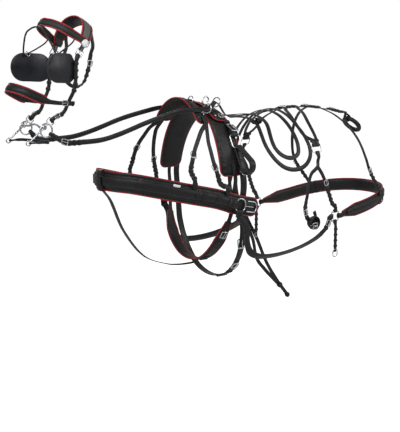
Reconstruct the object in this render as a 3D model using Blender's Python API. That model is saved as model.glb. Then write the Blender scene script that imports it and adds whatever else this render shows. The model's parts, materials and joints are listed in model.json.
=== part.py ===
"""A single-horse driving harness, shaped as worn: bridle, reins, breastcollar, saddle and breeching.

Metres, +Z up. +X runs to the rear and +Y to the wearer's right, so the near side is -Y.
The origin is on the back line under the saddle. The harness keeps the shape it has when
worn: a body outline and a head frame, in shares of their sizes, give the straps their routes.
"""

import math

import bmesh
import bpy
from mathutils import Matrix, Vector

for old in list(bpy.data.objects):
    bpy.data.objects.remove(old)

# The body that the harness is cut for
BODY_LENGTH = 2.00
BODY_DEPTH = 0.80
BARREL_WIDTH = 0.60
HEAD_LENGTH = 0.60
HEAD_WIDTH = 0.22
HEAD_DEPTH = 0.30

# Leather: widths and thicknesses
STRAP_THICKNESS = 0.0040
HEAVY_THICKNESS = 0.0055
BRIDLE_WIDTH = 0.018
CROWN_WIDTH = 0.046
CROWN_THICKNESS = 0.009
BROWBAND_WIDTH = 0.032
BROWBAND_THICKNESS = 0.010
NOSEBAND_WIDTH = 0.036
NOSEBAND_THICKNESS = 0.011
REIN_WIDTH = 0.024
COLLAR_HEIGHT = 0.090
COLLAR_THICKNESS = 0.024
COLLAR_STRAP_WIDTH = 0.044
TRACE_WIDTH = 0.036
NECK_PAD_WIDTH = 0.090
NECK_PAD_THICKNESS = 0.018
UPTUG_WIDTH = 0.024
SADDLE_PAD_WIDTH = 0.140
SADDLE_PAD_THICKNESS = 0.017
SEAT_WIDTH = 0.110
SEAT_THICKNESS = 0.016
BACKBAND_WIDTH = 0.040
TUG_WIDTH = 0.038
TUG_THICKNESS = 0.008
TUG_SPAN = 0.072
GIRTH_WIDTH = 0.070
GIRTH_THICKNESS = 0.014
BELLY_BAND_WIDTH = 0.038
BACKSTRAP_WIDTH = 0.036
LOIN_WIDTH = 0.022
CRUPPER_RADIUS = 0.013
BREECHING_HEIGHT = 0.066
BREECHING_THICKNESS = 0.020
HOLDBACK_LENGTH = 0.150
STAY_RADIUS = 0.004
BLINKER_HEIGHT = 0.130
BLINKER_THICKNESS = 0.007
CURB_WIDTH = 0.014

# Metal
BAR_RADIUS = 0.0025
HEAVY_BAR_RADIUS = 0.0034
SIDE_CLEARANCE = 0.0025
BUCKLE_LENGTH = 0.028
HEAVY_BUCKLE_LENGTH = 0.044
LINK_CORNER = 0.008
TERRET_RADIUS = 0.024
TERRET_BAR = 0.0032
TERRET_STEM = 0.012
BIT_BAR = 0.0045
BIT_CHEEK_BAR = 0.0040
BIT_RING_RADIUS = 0.030

# Fits
GAP = 0.0003
LAYER_GAP = 0.0008
EYE_GAP = 0.0005
LEAD = 0.022
FOLD_RUN = 0.030

# The body's outline: x, top of the back, belly, half width
BODY_SHARES = (
    (-0.300, 0.375, -0.625, 0.175),
    (-0.250, 0.306, -0.712, 0.267),
    (-0.177, 0.199, -0.831, 0.353),
    (-0.115, 0.116, -0.900, 0.387),
    (-0.067, 0.056, -0.931, 0.405),
    (-0.018, 0.015, -0.946, 0.417),
    (0.000, 0.000, -0.946, 0.425),
    (0.066, -0.031, -0.938, 0.447),
    (0.156, -0.035, -0.894, 0.480),
    (0.230, -0.012, -0.844, 0.497),
    (0.346, 0.000, -0.775, 0.497),
    (0.427, -0.018, -0.750, 0.487),
    (0.512, -0.056, -0.762, 0.463),
    (0.563, -0.110, -0.788, 0.425),
    (0.609, -0.188, -0.825, 0.342),
    (0.640, -0.300, -0.875, 0.200),
)
WIDEST_SHARE = 0.46
PROBE_SHARE = 0.0005
PROBE_DEGREES = 0.2

# The head's frame: where the browband crosses the forehead, and the slope of the face
BROW_SHARES = (-0.4725, 0.0, 0.544)
FACE_DOWN = Vector((-0.52, 0.0, -0.854)).normalized()
FACE_BACK = Vector((0.854, 0.0, -0.52)).normalized()

SIDES = (("near", -1.0), ("far", 1.0))
OUT = Vector((0.0, -1.0, 0.0))
UP = Vector((0.0, 0.0, 1.0))

FLAT_SHARES = ((-1.0, -1.0), (1.0, -1.0), (1.0, 1.0), (-1.0, 1.0))
PADDED_SHARES = ((-1.0, 0.0), (-0.72, -1.0), (0.72, -1.0), (1.0, 0.0), (0.72, 1.0), (-0.72, 1.0))


# Materials
def material(name, colour, roughness, metallic):
    made = bpy.data.materials.new(name)
    made.use_nodes = True
    shader = made.node_tree.nodes["Principled BSDF"]
    shader.inputs["Base Color"].default_value = (*colour, 1.0)
    shader.inputs["Roughness"].default_value = roughness
    shader.inputs["Metallic"].default_value = metallic
    return made


BLACK = (0.012, 0.012, 0.013)
SILVER = (0.80, 0.81, 0.83)


def leather(name):
    return material(name + "_leather", BLACK, 0.48, 0.0)


def chrome(name):
    return material(name + "_chrome", SILVER, 0.12, 1.0)


# Smooth curves through hand-picked points
def hermite(a, b, slope_a, slope_b, t):
    t2 = t * t
    t3 = t2 * t
    return (
        (2 * t3 - 3 * t2 + 1) * a
        + (t3 - 2 * t2 + t) * slope_a
        + (3 * t2 - 2 * t3) * b
        + (t3 - t2) * slope_b
    )


def body_row(x_share):
    """The outline's top, belly and half width at a place along the body, as shares."""
    rows = BODY_SHARES
    at = min(max(x_share, rows[0][0]), rows[-1][0])
    i = 0
    while i < len(rows) - 2 and rows[i + 1][0] < at:
        i += 1

    def slope(k, column):
        before = rows[max(k - 1, 0)]
        after = rows[min(k + 1, len(rows) - 1)]
        return (after[column] - before[column]) / (after[0] - before[0])

    step = rows[i + 1][0] - rows[i][0]
    t = (at - rows[i][0]) / step
    return [
        hermite(rows[i][c], rows[i + 1][c], slope(i, c) * step, slope(i + 1, c) * step, t)
        for c in (1, 2, 3)
    ]


def body_point(x_share, degrees):
    """A point of the body's skin. 0 degrees is the back, 90 the near flank, -90 the far one."""
    top, belly, half = body_row(x_share)
    middle = belly + WIDEST_SHARE * (top - belly)
    angle = math.radians(degrees)
    reach = top - middle if math.cos(angle) > 0 else middle - belly
    return Vector(
        (
            x_share * BODY_LENGTH,
            -half * BARREL_WIDTH * math.sin(angle),
            (middle + reach * math.cos(angle)) * BODY_DEPTH,
        )
    )


def body_normal(x_share, degrees):
    along = body_point(x_share + PROBE_SHARE, degrees) - body_point(x_share - PROBE_SHARE, degrees)
    around = body_point(x_share, degrees + PROBE_DEGREES) - body_point(
        x_share, degrees - PROBE_DEGREES
    )
    return around.cross(along).normalized()


def place(shares):
    """Shares of the body's length, width and depth, as a place."""
    return Vector((shares[0] * BODY_LENGTH, shares[1] * BARREL_WIDTH, shares[2] * BODY_DEPTH))


def head(down, side, back):
    """A place on the head: shares down the face, to the far side, and back from the face."""
    return (
        place(BROW_SHARES)
        + FACE_DOWN * (down * HEAD_LENGTH)
        + Vector((0.0, side * HEAD_WIDTH, 0.0))
        + FACE_BACK * (back * HEAD_DEPTH)
    )


def flip(vector, side):
    """The near side's vector, carried to the side asked for."""
    return Vector((vector.x, vector.y * -side, vector.z))


def mirrored(path, side):
    return [(flip(point, side), flip(normal, side)) for point, normal in path]


def on_body(track, lift):
    """Points on the skin, raised by a lift: (place along the body, degrees) each."""
    path = []
    for x_share, degrees in track:
        normal = body_normal(x_share, degrees)
        path.append((body_point(x_share, degrees) + normal * lift, normal))
    return path


def eased(path, count, closed=False):
    """The path's points and faces, read at even steps from one smooth curve."""
    n = len(path)

    def at(k):
        return path[k % n] if closed else path[min(max(k, 0), n - 1)]

    spans = n if closed else n - 1
    lengths = [0.0]
    for k in range(spans):
        lengths.append(lengths[-1] + (at(k + 1)[0] - at(k)[0]).length)
    total = lengths[-1]
    steps = count if closed else count - 1
    made = []
    for j in range(count):
        reach = total * j / steps
        k = 0
        while k < spans - 1 and lengths[k + 1] < reach:
            k += 1
        t = (reach - lengths[k]) / (lengths[k + 1] - lengths[k])
        values = []
        for part in (0, 1):
            a, b = at(k)[part], at(k + 1)[part]
            before, after = at(k - 1)[part], at(k + 2)[part]
            gap_ab = max((at(k + 1)[0] - at(k)[0]).length, GAP)
            gap_in = max((at(k)[0] - at(k - 1)[0]).length, GAP)
            gap_out = max((at(k + 2)[0] - at(k + 1)[0]).length, GAP)
            slope_a = (b - before) * (gap_ab / (gap_ab + gap_in))
            slope_b = (after - a) * (gap_ab / (gap_ab + gap_out))
            if not closed and k == 0:
                slope_a = b - a
            if not closed and k == spans - 1:
                slope_b = b - a
            values.append(hermite(a, b, slope_a, slope_b, t))
        made.append((values[0], values[1].normalized()))
    return made


# Solids
def new_object(name, mesh, finish):
    made = bpy.data.objects.new(name, mesh)
    bpy.context.scene.collection.objects.link(made)
    mesh.materials.clear()
    mesh.materials.append(finish)
    return made


def hung_from(made, pivot):
    """Puts the object's own origin on the axis that it swings about."""
    made.data.transform(Matrix.Translation(-pivot))
    made.location = pivot
    return made


def swept_mesh(name, path, outline, scales=None, closed=False):
    """The outline, (across, up) pairs, carried along (point, face) pairs."""
    shape = bmesh.new()
    rings = []
    n = len(path)
    for k, (point, face) in enumerate(path):
        if closed:
            along = path[(k + 1) % n][0] - path[k - 1][0]
        else:
            along = path[min(k + 1, n - 1)][0] - path[max(k - 1, 0)][0]
        along.normalize()
        across = face.cross(along).normalized()
        up = along.cross(across)
        wide, thick = scales[k] if scales else (1.0, 1.0)
        rings.append([shape.verts.new(point + across * (a * wide) + up * (b * thick)) for a, b in outline])
    m = len(outline)
    for k in range(n if closed else n - 1):
        here, there = rings[k], rings[(k + 1) % n]
        for i in range(m):
            j = (i + 1) % m
            shape.faces.new((here[i], here[j], there[j], there[i]))
    if not closed:
        shape.faces.new(rings[0][::-1])
        shape.faces.new(rings[-1])
    bmesh.ops.recalc_face_normals(shape, faces=shape.faces)
    if shape.calc_volume(signed=True) < 0:
        bmesh.ops.reverse_faces(shape, faces=shape.faces)
    mesh = bpy.data.meshes.new(name)
    shape.to_mesh(mesh)
    shape.free()
    return mesh


def outline_of(shares, width, thickness):
    return [(a * width / 2, b * thickness / 2) for a, b in shares]


def round_outline(radius, sides):
    turn = 2 * math.pi / sides
    return [(radius * math.cos(turn * k), radius * math.sin(turn * k)) for k in range(sides)]


def strap(name, path, width, thickness, shares=FLAT_SHARES, scales=None):
    mesh = swept_mesh(name, path, outline_of(shares, width, thickness), scales)
    return new_object(name, mesh, leather(name))


def pad(name, path, width, thickness, scales=None):
    made = strap(name, path, width, thickness, PADDED_SHARES, scales)
    made.data.shade_smooth()
    return made


def unite(main, others):
    """One closed body from solids that overlap."""
    return combined(main, others, "UNION")


def cut(main, cutters):
    return combined(main, cutters, "DIFFERENCE")


def combined(main, others, operation):
    for other in others:
        joining = main.modifiers.new("join", "BOOLEAN")
        joining.operation = operation
        joining.object = other
        joining.solver = "EXACT"
    graph = bpy.context.evaluated_depsgraph_get()
    joined = bpy.data.meshes.new_from_object(main.evaluated_get(graph))
    finish = main.data.materials[0]
    main.modifiers.clear()
    main.data = joined
    joined.materials.clear()
    joined.materials.append(finish)
    for polygon in joined.polygons:
        polygon.material_index = 0
    for other in others:
        bpy.data.objects.remove(other)
    return main


def frame_loop(length, width, corner, steps):
    """A rounded rectangle's points in its own plane, as (along, across) pairs."""
    corners = (
        (length / 2 - corner, width / 2 - corner, 0),
        (corner - length / 2, width / 2 - corner, 90),
        (corner - length / 2, corner - width / 2, 180),
        (length / 2 - corner, corner - width / 2, 270),
    )
    points = []
    for u, v, first in corners:
        for k in range(steps + 1):
            angle = math.radians(first + 90 * k / steps)
            points.append((u + corner * math.cos(angle), v + corner * math.sin(angle)))
    return points


def link(name, centre, along, face, length, width, bar, corner=LINK_CORNER):
    """A closed metal link: bar centres `length` apart along, and `width` apart across."""
    along = along.normalized()
    across = face.cross(along).normalized()
    normal = along.cross(across)
    loop = frame_loop(length, width, corner, 2)
    path = [(centre + along * u + across * v, normal) for u, v in loop]
    mesh = swept_mesh(name, path, round_outline(bar, 6), closed=True)
    made = new_object(name, mesh, chrome(name))
    made.data.shade_smooth()
    return made


def eye(bar, way, face, thickness, bar_radius, run=FOLD_RUN):
    """A strap's end turned round a bar: the lead up to it, then the turn and the return."""
    radius = bar_radius + EYE_GAP + thickness / 2
    under = radius - thickness - EYE_GAP
    lead = [(bar - way * LEAD + face * radius, face)]
    turn = []
    for k in range(5):
        angle = math.pi * k / 4
        radial = face * math.cos(angle) + way * math.sin(angle)
        turn.append((bar + radial * radius, radial))
    turn.append((bar - way * radius - face * (radius * 0.94), -face))
    turn.append((bar - way * (radius + (run - radius) * 0.62) + face * under, -face))
    turn.append((bar - way * run + face * under, -face))
    return lead, turn


def through_buckle(name, path, at_share, width, thickness, bar, length):
    """A buckle on a strap that runs through it: one bar under the strap and one over it."""
    lengths = [0.0]
    for (a, _), (b, _) in zip(path, path[1:]):
        lengths.append(lengths[-1] + (b - a).length)
    reach = lengths[-1] * at_share

    def at(distance):
        k = 0
        while k < len(path) - 2 and lengths[k + 1] < distance:
            k += 1
        t = (distance - lengths[k]) / (lengths[k + 1] - lengths[k])
        point = path[k][0].lerp(path[k + 1][0], t)
        return point, path[k][1].lerp(path[k + 1][1], t).normalized()

    clear = bar + LAYER_GAP + thickness / 2
    low, low_face = at(reach - length / 2)
    high, high_face = at(reach + length / 2)
    low = low - low_face * clear
    high = high + high_face * clear
    along = (high - low).normalized()
    face = (low_face + high_face).normalized()
    centre = (low + high) / 2
    return buckle(name, centre, along, face, (high - low).length, width, bar)


def buckle(name, centre, along, face, length, width, bar):
    """A frame whose tongue lies over its front bar."""
    across_width = width + 2 * (SIDE_CLEARANCE + bar)
    made = link(name, centre, along, face, length, across_width, bar)
    across = face.cross(along).normalized()
    normal = along.cross(across)
    tip = centre + along * (length / 2 + bar)
    root = centre + along * (length * 0.12)
    lift = normal * (bar * 1.2)
    path = [(root + lift, normal), (centre + along * (length * 0.34) + lift, normal), (tip + lift, normal)]
    tongue = new_object(
        name + "_tongue", swept_mesh(name, path, round_outline(bar * 0.75, 6)), made.data.materials[0]
    )
    return unite(made, [tongue])


def terret(name, foot, face, along, radius, bar, stem):
    """A ring that stands on a stem, for a rein to run through along `along`."""
    across = face.cross(along).normalized()
    centre = foot + face * (stem + radius)
    ring = []
    steps = 16
    for k in range(steps):
        angle = 2 * math.pi * k / steps
        radial = face * math.cos(angle) + across * math.sin(angle)
        ring.append((centre + radial * radius, radial))
    made = new_object(name, swept_mesh(name, ring, round_outline(bar, 6), closed=True), chrome(name))
    base = [(foot, along), (foot + face * (stem * 0.4), along), (foot + face * stem, along)]
    wide = [(2.6, 2.6), (1.5, 1.5), (1.2, 1.2)]
    post_mesh = swept_mesh(name, base, round_outline(bar, 8), wide)
    post = new_object(name + "_post", post_mesh, made.data.materials[0])
    made.data.shade_smooth()
    return unite(made, [post])


# Saddle: a pad over the back, the backband on it and the seat over both
SADDLE_SHARE = -0.018
PAD_HALF_DEGREES = 76
SEAT_HALF_DEGREES = 32
BAND_HALF_DEGREES = 36
ARCH_STEP_DEGREES = 4
BAND_OFFSET_SHARE = 0.36
SEAT_END_SHARES = (0.80, 0.94)
PAD_LIFT = SADDLE_PAD_THICKNESS / 2
SEAT_TOP = SADDLE_PAD_THICKNESS + LAYER_GAP + GAP + SEAT_THICKNESS


def arch(x_share, half_degrees, lift):
    """A band straight over the back, from the near side to the far."""
    count = round(2 * half_degrees / ARCH_STEP_DEGREES) + 1
    return on_body([(x_share, half_degrees - ARCH_STEP_DEGREES * k) for k in range(count)], lift)


def beside(path, shift, lift):
    """The path of a layer that lies parallel to a swept piece: moved across it and raised."""
    made = []
    for k, (point, face) in enumerate(path):
        along = (path[min(k + 1, len(path) - 1)][0] - path[max(k - 1, 0)][0]).normalized()
        across = face.cross(along).normalized()
        up = along.cross(across)
        made.append((point + across * shift + up * lift, up))
    return made


def middle_of(path, half_degrees):
    """The samples of an arch that lie within some degrees of the top."""
    keep = round(half_degrees / ARCH_STEP_DEGREES)
    centre = len(path) // 2
    return path[centre - keep : centre + keep + 1]


pad_path = arch(SADDLE_SHARE, PAD_HALF_DEGREES, PAD_LIFT)
pad("saddle_pad", pad_path, SADDLE_PAD_WIDTH, SADDLE_PAD_THICKNESS)
BAND_SHIFT = SADDLE_PAD_WIDTH * BAND_OFFSET_SHARE
BAND_LIFT = PAD_LIFT + LAYER_GAP + HEAVY_THICKNESS / 2
band_whole = beside(pad_path, -BAND_SHIFT, BAND_LIFT)
SEAT_LIFT = PAD_LIFT + LAYER_GAP + GAP + SEAT_THICKNESS / 2
seat_path = middle_of(beside(pad_path, 0.0, SEAT_LIFT), SEAT_HALF_DEGREES)
seat_count = len(seat_path)
seat_scales = [(1.0, 1.0)] * seat_count
for k, share in enumerate(SEAT_END_SHARES):
    seat_scales[k] = (share, 1.0)
    seat_scales[-1 - k] = (share, 1.0)
seat = pad("saddle_seat", seat_path, SEAT_WIDTH, SEAT_THICKNESS, seat_scales)


# The channel under the seat that the backband runs in
channel_path = middle_of(band_whole, SEAT_HALF_DEGREES + 2 * ARCH_STEP_DEGREES)
channel = strap("channel", channel_path, BACKBAND_WIDTH + 4 * LAYER_GAP, HEAVY_THICKNESS + 3 * LAYER_GAP)
cut(seat, [channel])

TERRET_DEGREES = 17
REARWARD = Vector((1.0, 0.0, 0.0))
terret_centres = {}
for label, side in SIDES:
    turn = -side * TERRET_DEGREES
    skin = body_normal(SADDLE_SHARE, turn)
    foot = body_point(SADDLE_SHARE, turn) + skin * (SEAT_TOP + LAYER_GAP)
    terret(label + "_saddle_terret", foot, skin, REARWARD, TERRET_RADIUS, TERRET_BAR, TERRET_STEM)
    terret_centres[label] = (foot + skin * (TERRET_STEM + TERRET_RADIUS), skin)

# Bearing-rein hook: a post that curls back over the middle of the seat
HOOK_SHARES = ((0.0, 0.0), (0.0, 0.45), (0.10, 0.75), (0.42, 1.0), (0.80, 0.86), (0.92, 0.58), (0.74, 0.42))
HOOK_HEIGHT = 0.042
HOOK_BAR = 0.0036
hook_up = body_normal(SADDLE_SHARE, 0)
hook_back = OUT.cross(hook_up) * -1
hook_foot = body_point(SADDLE_SHARE, 0) + hook_up * (SEAT_TOP + LAYER_GAP)
HOOK_COUNT = 16
hook_path = []
for u, v in HOOK_SHARES:
    hook_path.append((hook_foot + hook_back * (u * HOOK_HEIGHT) + hook_up * (v * HOOK_HEIGHT), OUT))
hook_path = eased(hook_path, HOOK_COUNT)
hook_scales = [(1.5, 1.5)] + [(1.0, 1.0)] * (HOOK_COUNT - 1)
hook_mesh = swept_mesh("saddle_hook", hook_path, round_outline(HOOK_BAR, 6), hook_scales)
hook = new_object("saddle_hook", hook_mesh, chrome("saddle_hook"))
hook.data.shade_smooth()

# Tug buckles: the backband turns round the upper bar, the shaft tug round the lower one
BAND_SHARE = 0.007
TUG_HEEL_DEGREES = 45
TUG_FOOT_DEGREES = 55
TUG_REST_DEGREES = 69.5
TUG_BAR_LIFT = SADDLE_PAD_THICKNESS + HEAVY_THICKNESS + HEAVY_BAR_RADIUS + EYE_GAP + 2 * LAYER_GAP
TUG_BULGE = 0.008
TUG_LINK_WIDTH = BACKBAND_WIDTH + 2 * (LINK_CORNER + SIDE_CLEARANCE)


def tug_bars(side):
    """Places of the tug buckle's upper and lower bars."""
    upper = body_point(BAND_SHARE, -side * TUG_HEEL_DEGREES)
    lower = body_point(BAND_SHARE, -side * TUG_FOOT_DEGREES)
    upper += body_normal(BAND_SHARE, -side * TUG_HEEL_DEGREES) * TUG_BAR_LIFT
    lower += body_normal(BAND_SHARE, -side * TUG_FOOT_DEGREES) * TUG_BAR_LIFT
    return upper, lower


def tug_loop(bar, middle, small, large, steps):
    """A band round a bar and a larger circle, as a belt lies round two pulleys."""
    across = REARWARD
    down = (middle - bar).normalized()
    side_way = across.cross(down)
    spread = math.acos((large - small) / (middle - bar).length)
    path = []
    for k in range(7):
        angle = -spread + 2 * spread * k / 6
        radial = -down * math.cos(angle) + side_way * math.sin(angle)
        path.append((bar + radial * small, radial))
    for k in range(steps):
        angle = spread + (2 * math.pi - 2 * spread) * k / (steps - 1)
        radial = -down * math.cos(angle) + side_way * math.sin(angle)
        path.append((middle + radial * large, radial))
    return path


band_ends = {}
for label, side in SIDES:
    upper, lower = tug_bars(side)
    along = (lower - upper).normalized()
    face = REARWARD.cross(along) * side
    link(
        label + "_tug_buckle",
        (upper + lower) / 2,
        along,
        face,
        (lower - upper).length,
        TUG_LINK_WIDTH,
        HEAVY_BAR_RADIUS,
    )
    band_ends[label] = eye(upper, along, face, HEAVY_THICKNESS, HEAVY_BAR_RADIUS)
    rest_lift = SADDLE_PAD_THICKNESS + HEAVY_THICKNESS + 2 * LAYER_GAP + TUG_THICKNESS / 2
    rest_lift += TUG_SPAN / 2 + TUG_BULGE
    middle = body_point(BAND_SHARE, -side * TUG_REST_DEGREES)
    middle += body_normal(BAND_SHARE, -side * TUG_REST_DEGREES) * rest_lift
    middle.x = lower.x
    small = HEAVY_BAR_RADIUS + EYE_GAP + TUG_THICKNESS / 2
    loop = tug_loop(lower, middle, small, TUG_SPAN / 2, 17)
    mesh = swept_mesh(
        label + "_shaft_tug", loop, outline_of(FLAT_SHARES, TUG_WIDTH, TUG_THICKNESS), closed=True
    )
    hung_from(new_object(label + "_shaft_tug", mesh, leather(label + "_shaft_tug")), lower)

band_middle = middle_of(band_whole, BAND_HALF_DEGREES)
near_lead, near_turn = band_ends["near"]
far_lead, far_turn = band_ends["far"]
band_path = near_turn[::-1] + near_lead + band_middle + far_lead + far_turn
strap("backband", band_path, BACKBAND_WIDTH, HEAVY_THICKNESS)

# Girth: a padded belt under the belly, with a narrow billet up to each end of the saddle pad
GIRTH_TURN_SHARES = (-0.014, 80)
GIRTH_SHARES = (
    (-0.016, 90),
    (-0.018, 100),
    (-0.022, 110),
    (-0.030, 122),
    (-0.036, 140),
    (-0.038, 160),
    (-0.038, 180),
)
GIRTH_SHIFT_SHARE = 0.06
GIRTH_BILLET_SHARE = 0.36


def full_round(half):
    """A near half that ends at the middle line, continued to the far side."""
    other = [(flip(point, 1.0), flip(normal, 1.0)) for point, normal in half[:-1]]
    return half + other[::-1]


girth_lift = PAD_LIFT + LAYER_GAP + HEAVY_THICKNESS / 2
girth_half = beside(pad_path, -SADDLE_PAD_WIDTH * GIRTH_SHIFT_SHARE, girth_lift)
girth_half = girth_half[:3][::-1] + on_body([GIRTH_TURN_SHARES], SADDLE_PAD_THICKNESS + HEAVY_THICKNESS)
girth_half += on_body(GIRTH_SHARES, GIRTH_THICKNESS / 2)
GIRTH_COUNT = 33
girth_path = eased(full_round(girth_half), GIRTH_COUNT)
billet_thick = HEAVY_THICKNESS / GIRTH_THICKNESS
girth_scales = []
for k in range(GIRTH_COUNT):
    end = min(k, GIRTH_COUNT - 1 - k)
    grown = min(max((end - 7) / 3, 0.0), 1.0)
    girth_scales.append(
        (GIRTH_BILLET_SHARE + (1 - GIRTH_BILLET_SHARE) * grown, billet_thick + (1 - billet_thick) * grown)
    )
pad("girth", girth_path, GIRTH_WIDTH, GIRTH_THICKNESS, girth_scales)

# Belly band: hangs clear of the belly, buckled on the near side
BAND_TOP_SHARES = ((0.010, 71), (0.011, 76), (0.012, 82), (0.012, 91), (0.012, 100))
BAND_DROP_SHARES = (
    (0.017, -0.425, -0.760),
    (0.023, -0.345, -0.925),
    (0.025, -0.200, -1.040),
    (0.025, 0.0, -1.080),
)
BAND_DROP_FACE_SHARES = ((-0.94, -0.34), (-0.80, -0.60), (-0.40, -0.92), (0.0, -1.0))
PAD_EDGE_DROP = 0.0016
belly_lift = SADDLE_PAD_THICKNESS - PAD_EDGE_DROP + LAYER_GAP + HEAVY_THICKNESS / 2
belly_half = on_body(BAND_TOP_SHARES[:3], belly_lift)
belly_half += on_body(BAND_TOP_SHARES[3:], HEAVY_THICKNESS)
for shares, (out, down) in zip(BAND_DROP_SHARES, BAND_DROP_FACE_SHARES):
    belly_half.append((place(shares), Vector((0.0, out, down))))
belly_path = eased(full_round(belly_half), 29)
strap("belly_band", belly_path, BELLY_BAND_WIDTH, HEAVY_THICKNESS)
BELLY_BUCKLE_SHARE = 0.265
through_buckle(
    "belly_band_buckle",
    belly_path,
    BELLY_BUCKLE_SHARE,
    BELLY_BAND_WIDTH,
    HEAVY_THICKNESS,
    HEAVY_BAR_RADIUS,
    HEAVY_BUCKLE_LENGTH,
)

# Neck strap: a padded yoke over the withers with a terret and two uptugs a side
NECK_PAD_SHARE = SADDLE_SHARE - ((SADDLE_PAD_WIDTH + NECK_PAD_WIDTH) / 2 - LAYER_GAP) / BODY_LENGTH
NECK_PAD_DEGREES = 40
NECK_TERRET_SHARE = NECK_PAD_SHARE + NECK_PAD_WIDTH * 0.21 / BODY_LENGTH
NECK_TERRET_DEGREES = 29
neck_path = arch(NECK_PAD_SHARE, NECK_PAD_DEGREES, NECK_PAD_THICKNESS / 2)
pad("neck_pad", neck_path, NECK_PAD_WIDTH, NECK_PAD_THICKNESS)
for label, side in SIDES:
    turn = -side * NECK_TERRET_DEGREES
    skin = body_normal(NECK_TERRET_SHARE, turn)
    foot = body_point(NECK_TERRET_SHARE, turn) + skin * (NECK_PAD_THICKNESS + GAP)
    terret(label + "_neck_terret", foot, skin, REARWARD, TERRET_RADIUS, TERRET_BAR, TERRET_STEM)
    terret_centres[label + " neck"] = (foot + skin * (TERRET_STEM + TERRET_RADIUS), skin)

# Breastcollar: places of its middle line, from the near end to the chest
COLLAR_SHARES = (
    (0.0475, -0.487, -0.590),
    (0.015, -0.478, -0.574),
    (-0.025, -0.467, -0.551),
    (-0.073, -0.452, -0.511),
    (-0.125, -0.430, -0.480),
    (-0.180, -0.397, -0.448),
    (-0.250, -0.312, -0.406),
    (-0.2875, -0.233, -0.385),
    (-0.310, -0.133, -0.378),
    (-0.320, 0.0, -0.375),
)


def level_path(shares, sign, count):
    """A band that stands on edge round the body, from its near end to its far one."""
    half = [place(row) for row in shares]
    whole = half + [flip(point, 1.0) for point in half[:-1]][::-1]
    rough = []
    for k, point in enumerate(whole):
        along = whole[min(k + 1, len(whole) - 1)] - whole[max(k - 1, 0)]
        along.z = 0
        rough.append((point, UP.cross(along).normalized() * sign))
    made = eased(rough, count)
    level = []
    for k, (point, _) in enumerate(made):
        along = made[min(k + 1, count - 1)][0] - made[max(k - 1, 0)][0]
        along.z = 0
        level.append((point, UP.cross(along).normalized() * sign))
    return level


COLLAR_COUNT = 35
collar_path = level_path(COLLAR_SHARES, 1.0, COLLAR_COUNT)
collar_scales = [(1.0, 1.0)] * COLLAR_COUNT
for k, (wide, thick) in enumerate(((0.55, 0.60), (0.93, 0.95))):
    collar_scales[k] = (wide, thick)
    collar_scales[-1 - k] = (wide, thick)
pad("breastcollar_pad", collar_path, COLLAR_HEIGHT, COLLAR_THICKNESS, collar_scales)

TRACE_LINK_SHARE = 0.070
TRACE_LINK_LENGTH = TRACE_WIDTH + 2 * (LINK_CORNER + SIDE_CLEARANCE)
TRACE_LINK_WIDTH = COLLAR_STRAP_WIDTH + 2 * (LINK_CORNER + SIDE_CLEARANCE)
TRACE_BAR_OUT = COLLAR_THICKNESS / 2 + HEAVY_THICKNESS + HEAVY_BAR_RADIUS + EYE_GAP + LAYER_GAP
STRAP_OUT = COLLAR_THICKNESS / 2 + LAYER_GAP + GAP + HEAVY_THICKNESS / 2


def at_length(path, reach):
    """The path's point, face and direction at a distance from its start."""
    gone = 0.0
    for (a, face_a), (b, face_b) in zip(path, path[1:]):
        step = (b - a).length
        if gone + step >= reach:
            t = (reach - gone) / step
            return a.lerp(b, t), face_a.lerp(face_b, t).normalized(), (b - a).normalized()
        gone += step
    return path[-1][0], path[-1][1], (path[-1][0] - path[-2][0]).normalized()


def path_length(path):
    return sum((b - a).length for (a, _), (b, _) in zip(path, path[1:]))


COLLAR_LENGTH = path_length(collar_path)
trace_links = {}
collar_eyes = {}
for label, side in SIDES:
    walk = collar_path if side < 0 else collar_path[::-1]
    point, face, forward = at_length(walk, COLLAR_LENGTH * TRACE_LINK_SHARE)
    centre = point + face * TRACE_BAR_OUT
    back = -forward
    link(
        label + "_trace_buckle", centre, back, face, TRACE_LINK_LENGTH, TRACE_LINK_WIDTH, HEAVY_BAR_RADIUS
    )
    link_up = back.cross(face).normalized()
    if link_up.z < 0:
        link_up.negate()
    trace_links[label] = (centre, link_up, face)
    heel = centre - back * (TRACE_LINK_LENGTH / 2)
    collar_eyes[label] = eye(heel, back, face, HEAVY_THICKNESS, HEAVY_BAR_RADIUS)

strap_from = COLLAR_LENGTH * TRACE_LINK_SHARE + TRACE_LINK_LENGTH / 2 + 2 * LEAD
middle = []
gone = 0.0
for k, (point, face) in enumerate(collar_path):
    if k:
        gone += (point - collar_path[k - 1][0]).length
    if strap_from <= gone <= COLLAR_LENGTH - strap_from:
        middle.append((point + face * STRAP_OUT, face))
near_lead, near_turn = collar_eyes["near"]
far_lead, far_turn = collar_eyes["far"]
collar_strap_path = near_turn[::-1] + near_lead + middle + far_lead + far_turn
strap("breastcollar_strap", collar_strap_path, COLLAR_STRAP_WIDTH, HEAVY_THICKNESS)

# Uptugs: one forked piece a side, from the yoke down to the collar's outer face
UPTUG_PAD_SHARES = (-0.10, -0.04, 0.03, 0.09)
FRONT_UPTUG_SHARES = ((-0.100, 51), (-0.116, 60), (-0.130, 68), (-0.140, 76), (-0.146, 83))
REAR_UPTUG_SHARES = ((-0.082, 51), (-0.083, 57), (-0.081, 63), (-0.077, 70), (-0.068, 78), (-0.060, 84))
FRONT_UPTUG_REACH_SHARE = 0.227
REAR_UPTUG_REACH_SHARE = 0.114
FRONT_BUCKLE_SHARE = 0.62
REAR_BUCKLE_SHARE = 0.64
UPTUG_BAR = 0.0022
UPTUG_COUNT = 21
UPTUG_LIFT = NECK_PAD_THICKNESS
OVER_NECK_PAD = NECK_PAD_THICKNESS / 2 + LAYER_GAP + GAP + STRAP_THICKNESS / 2


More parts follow.
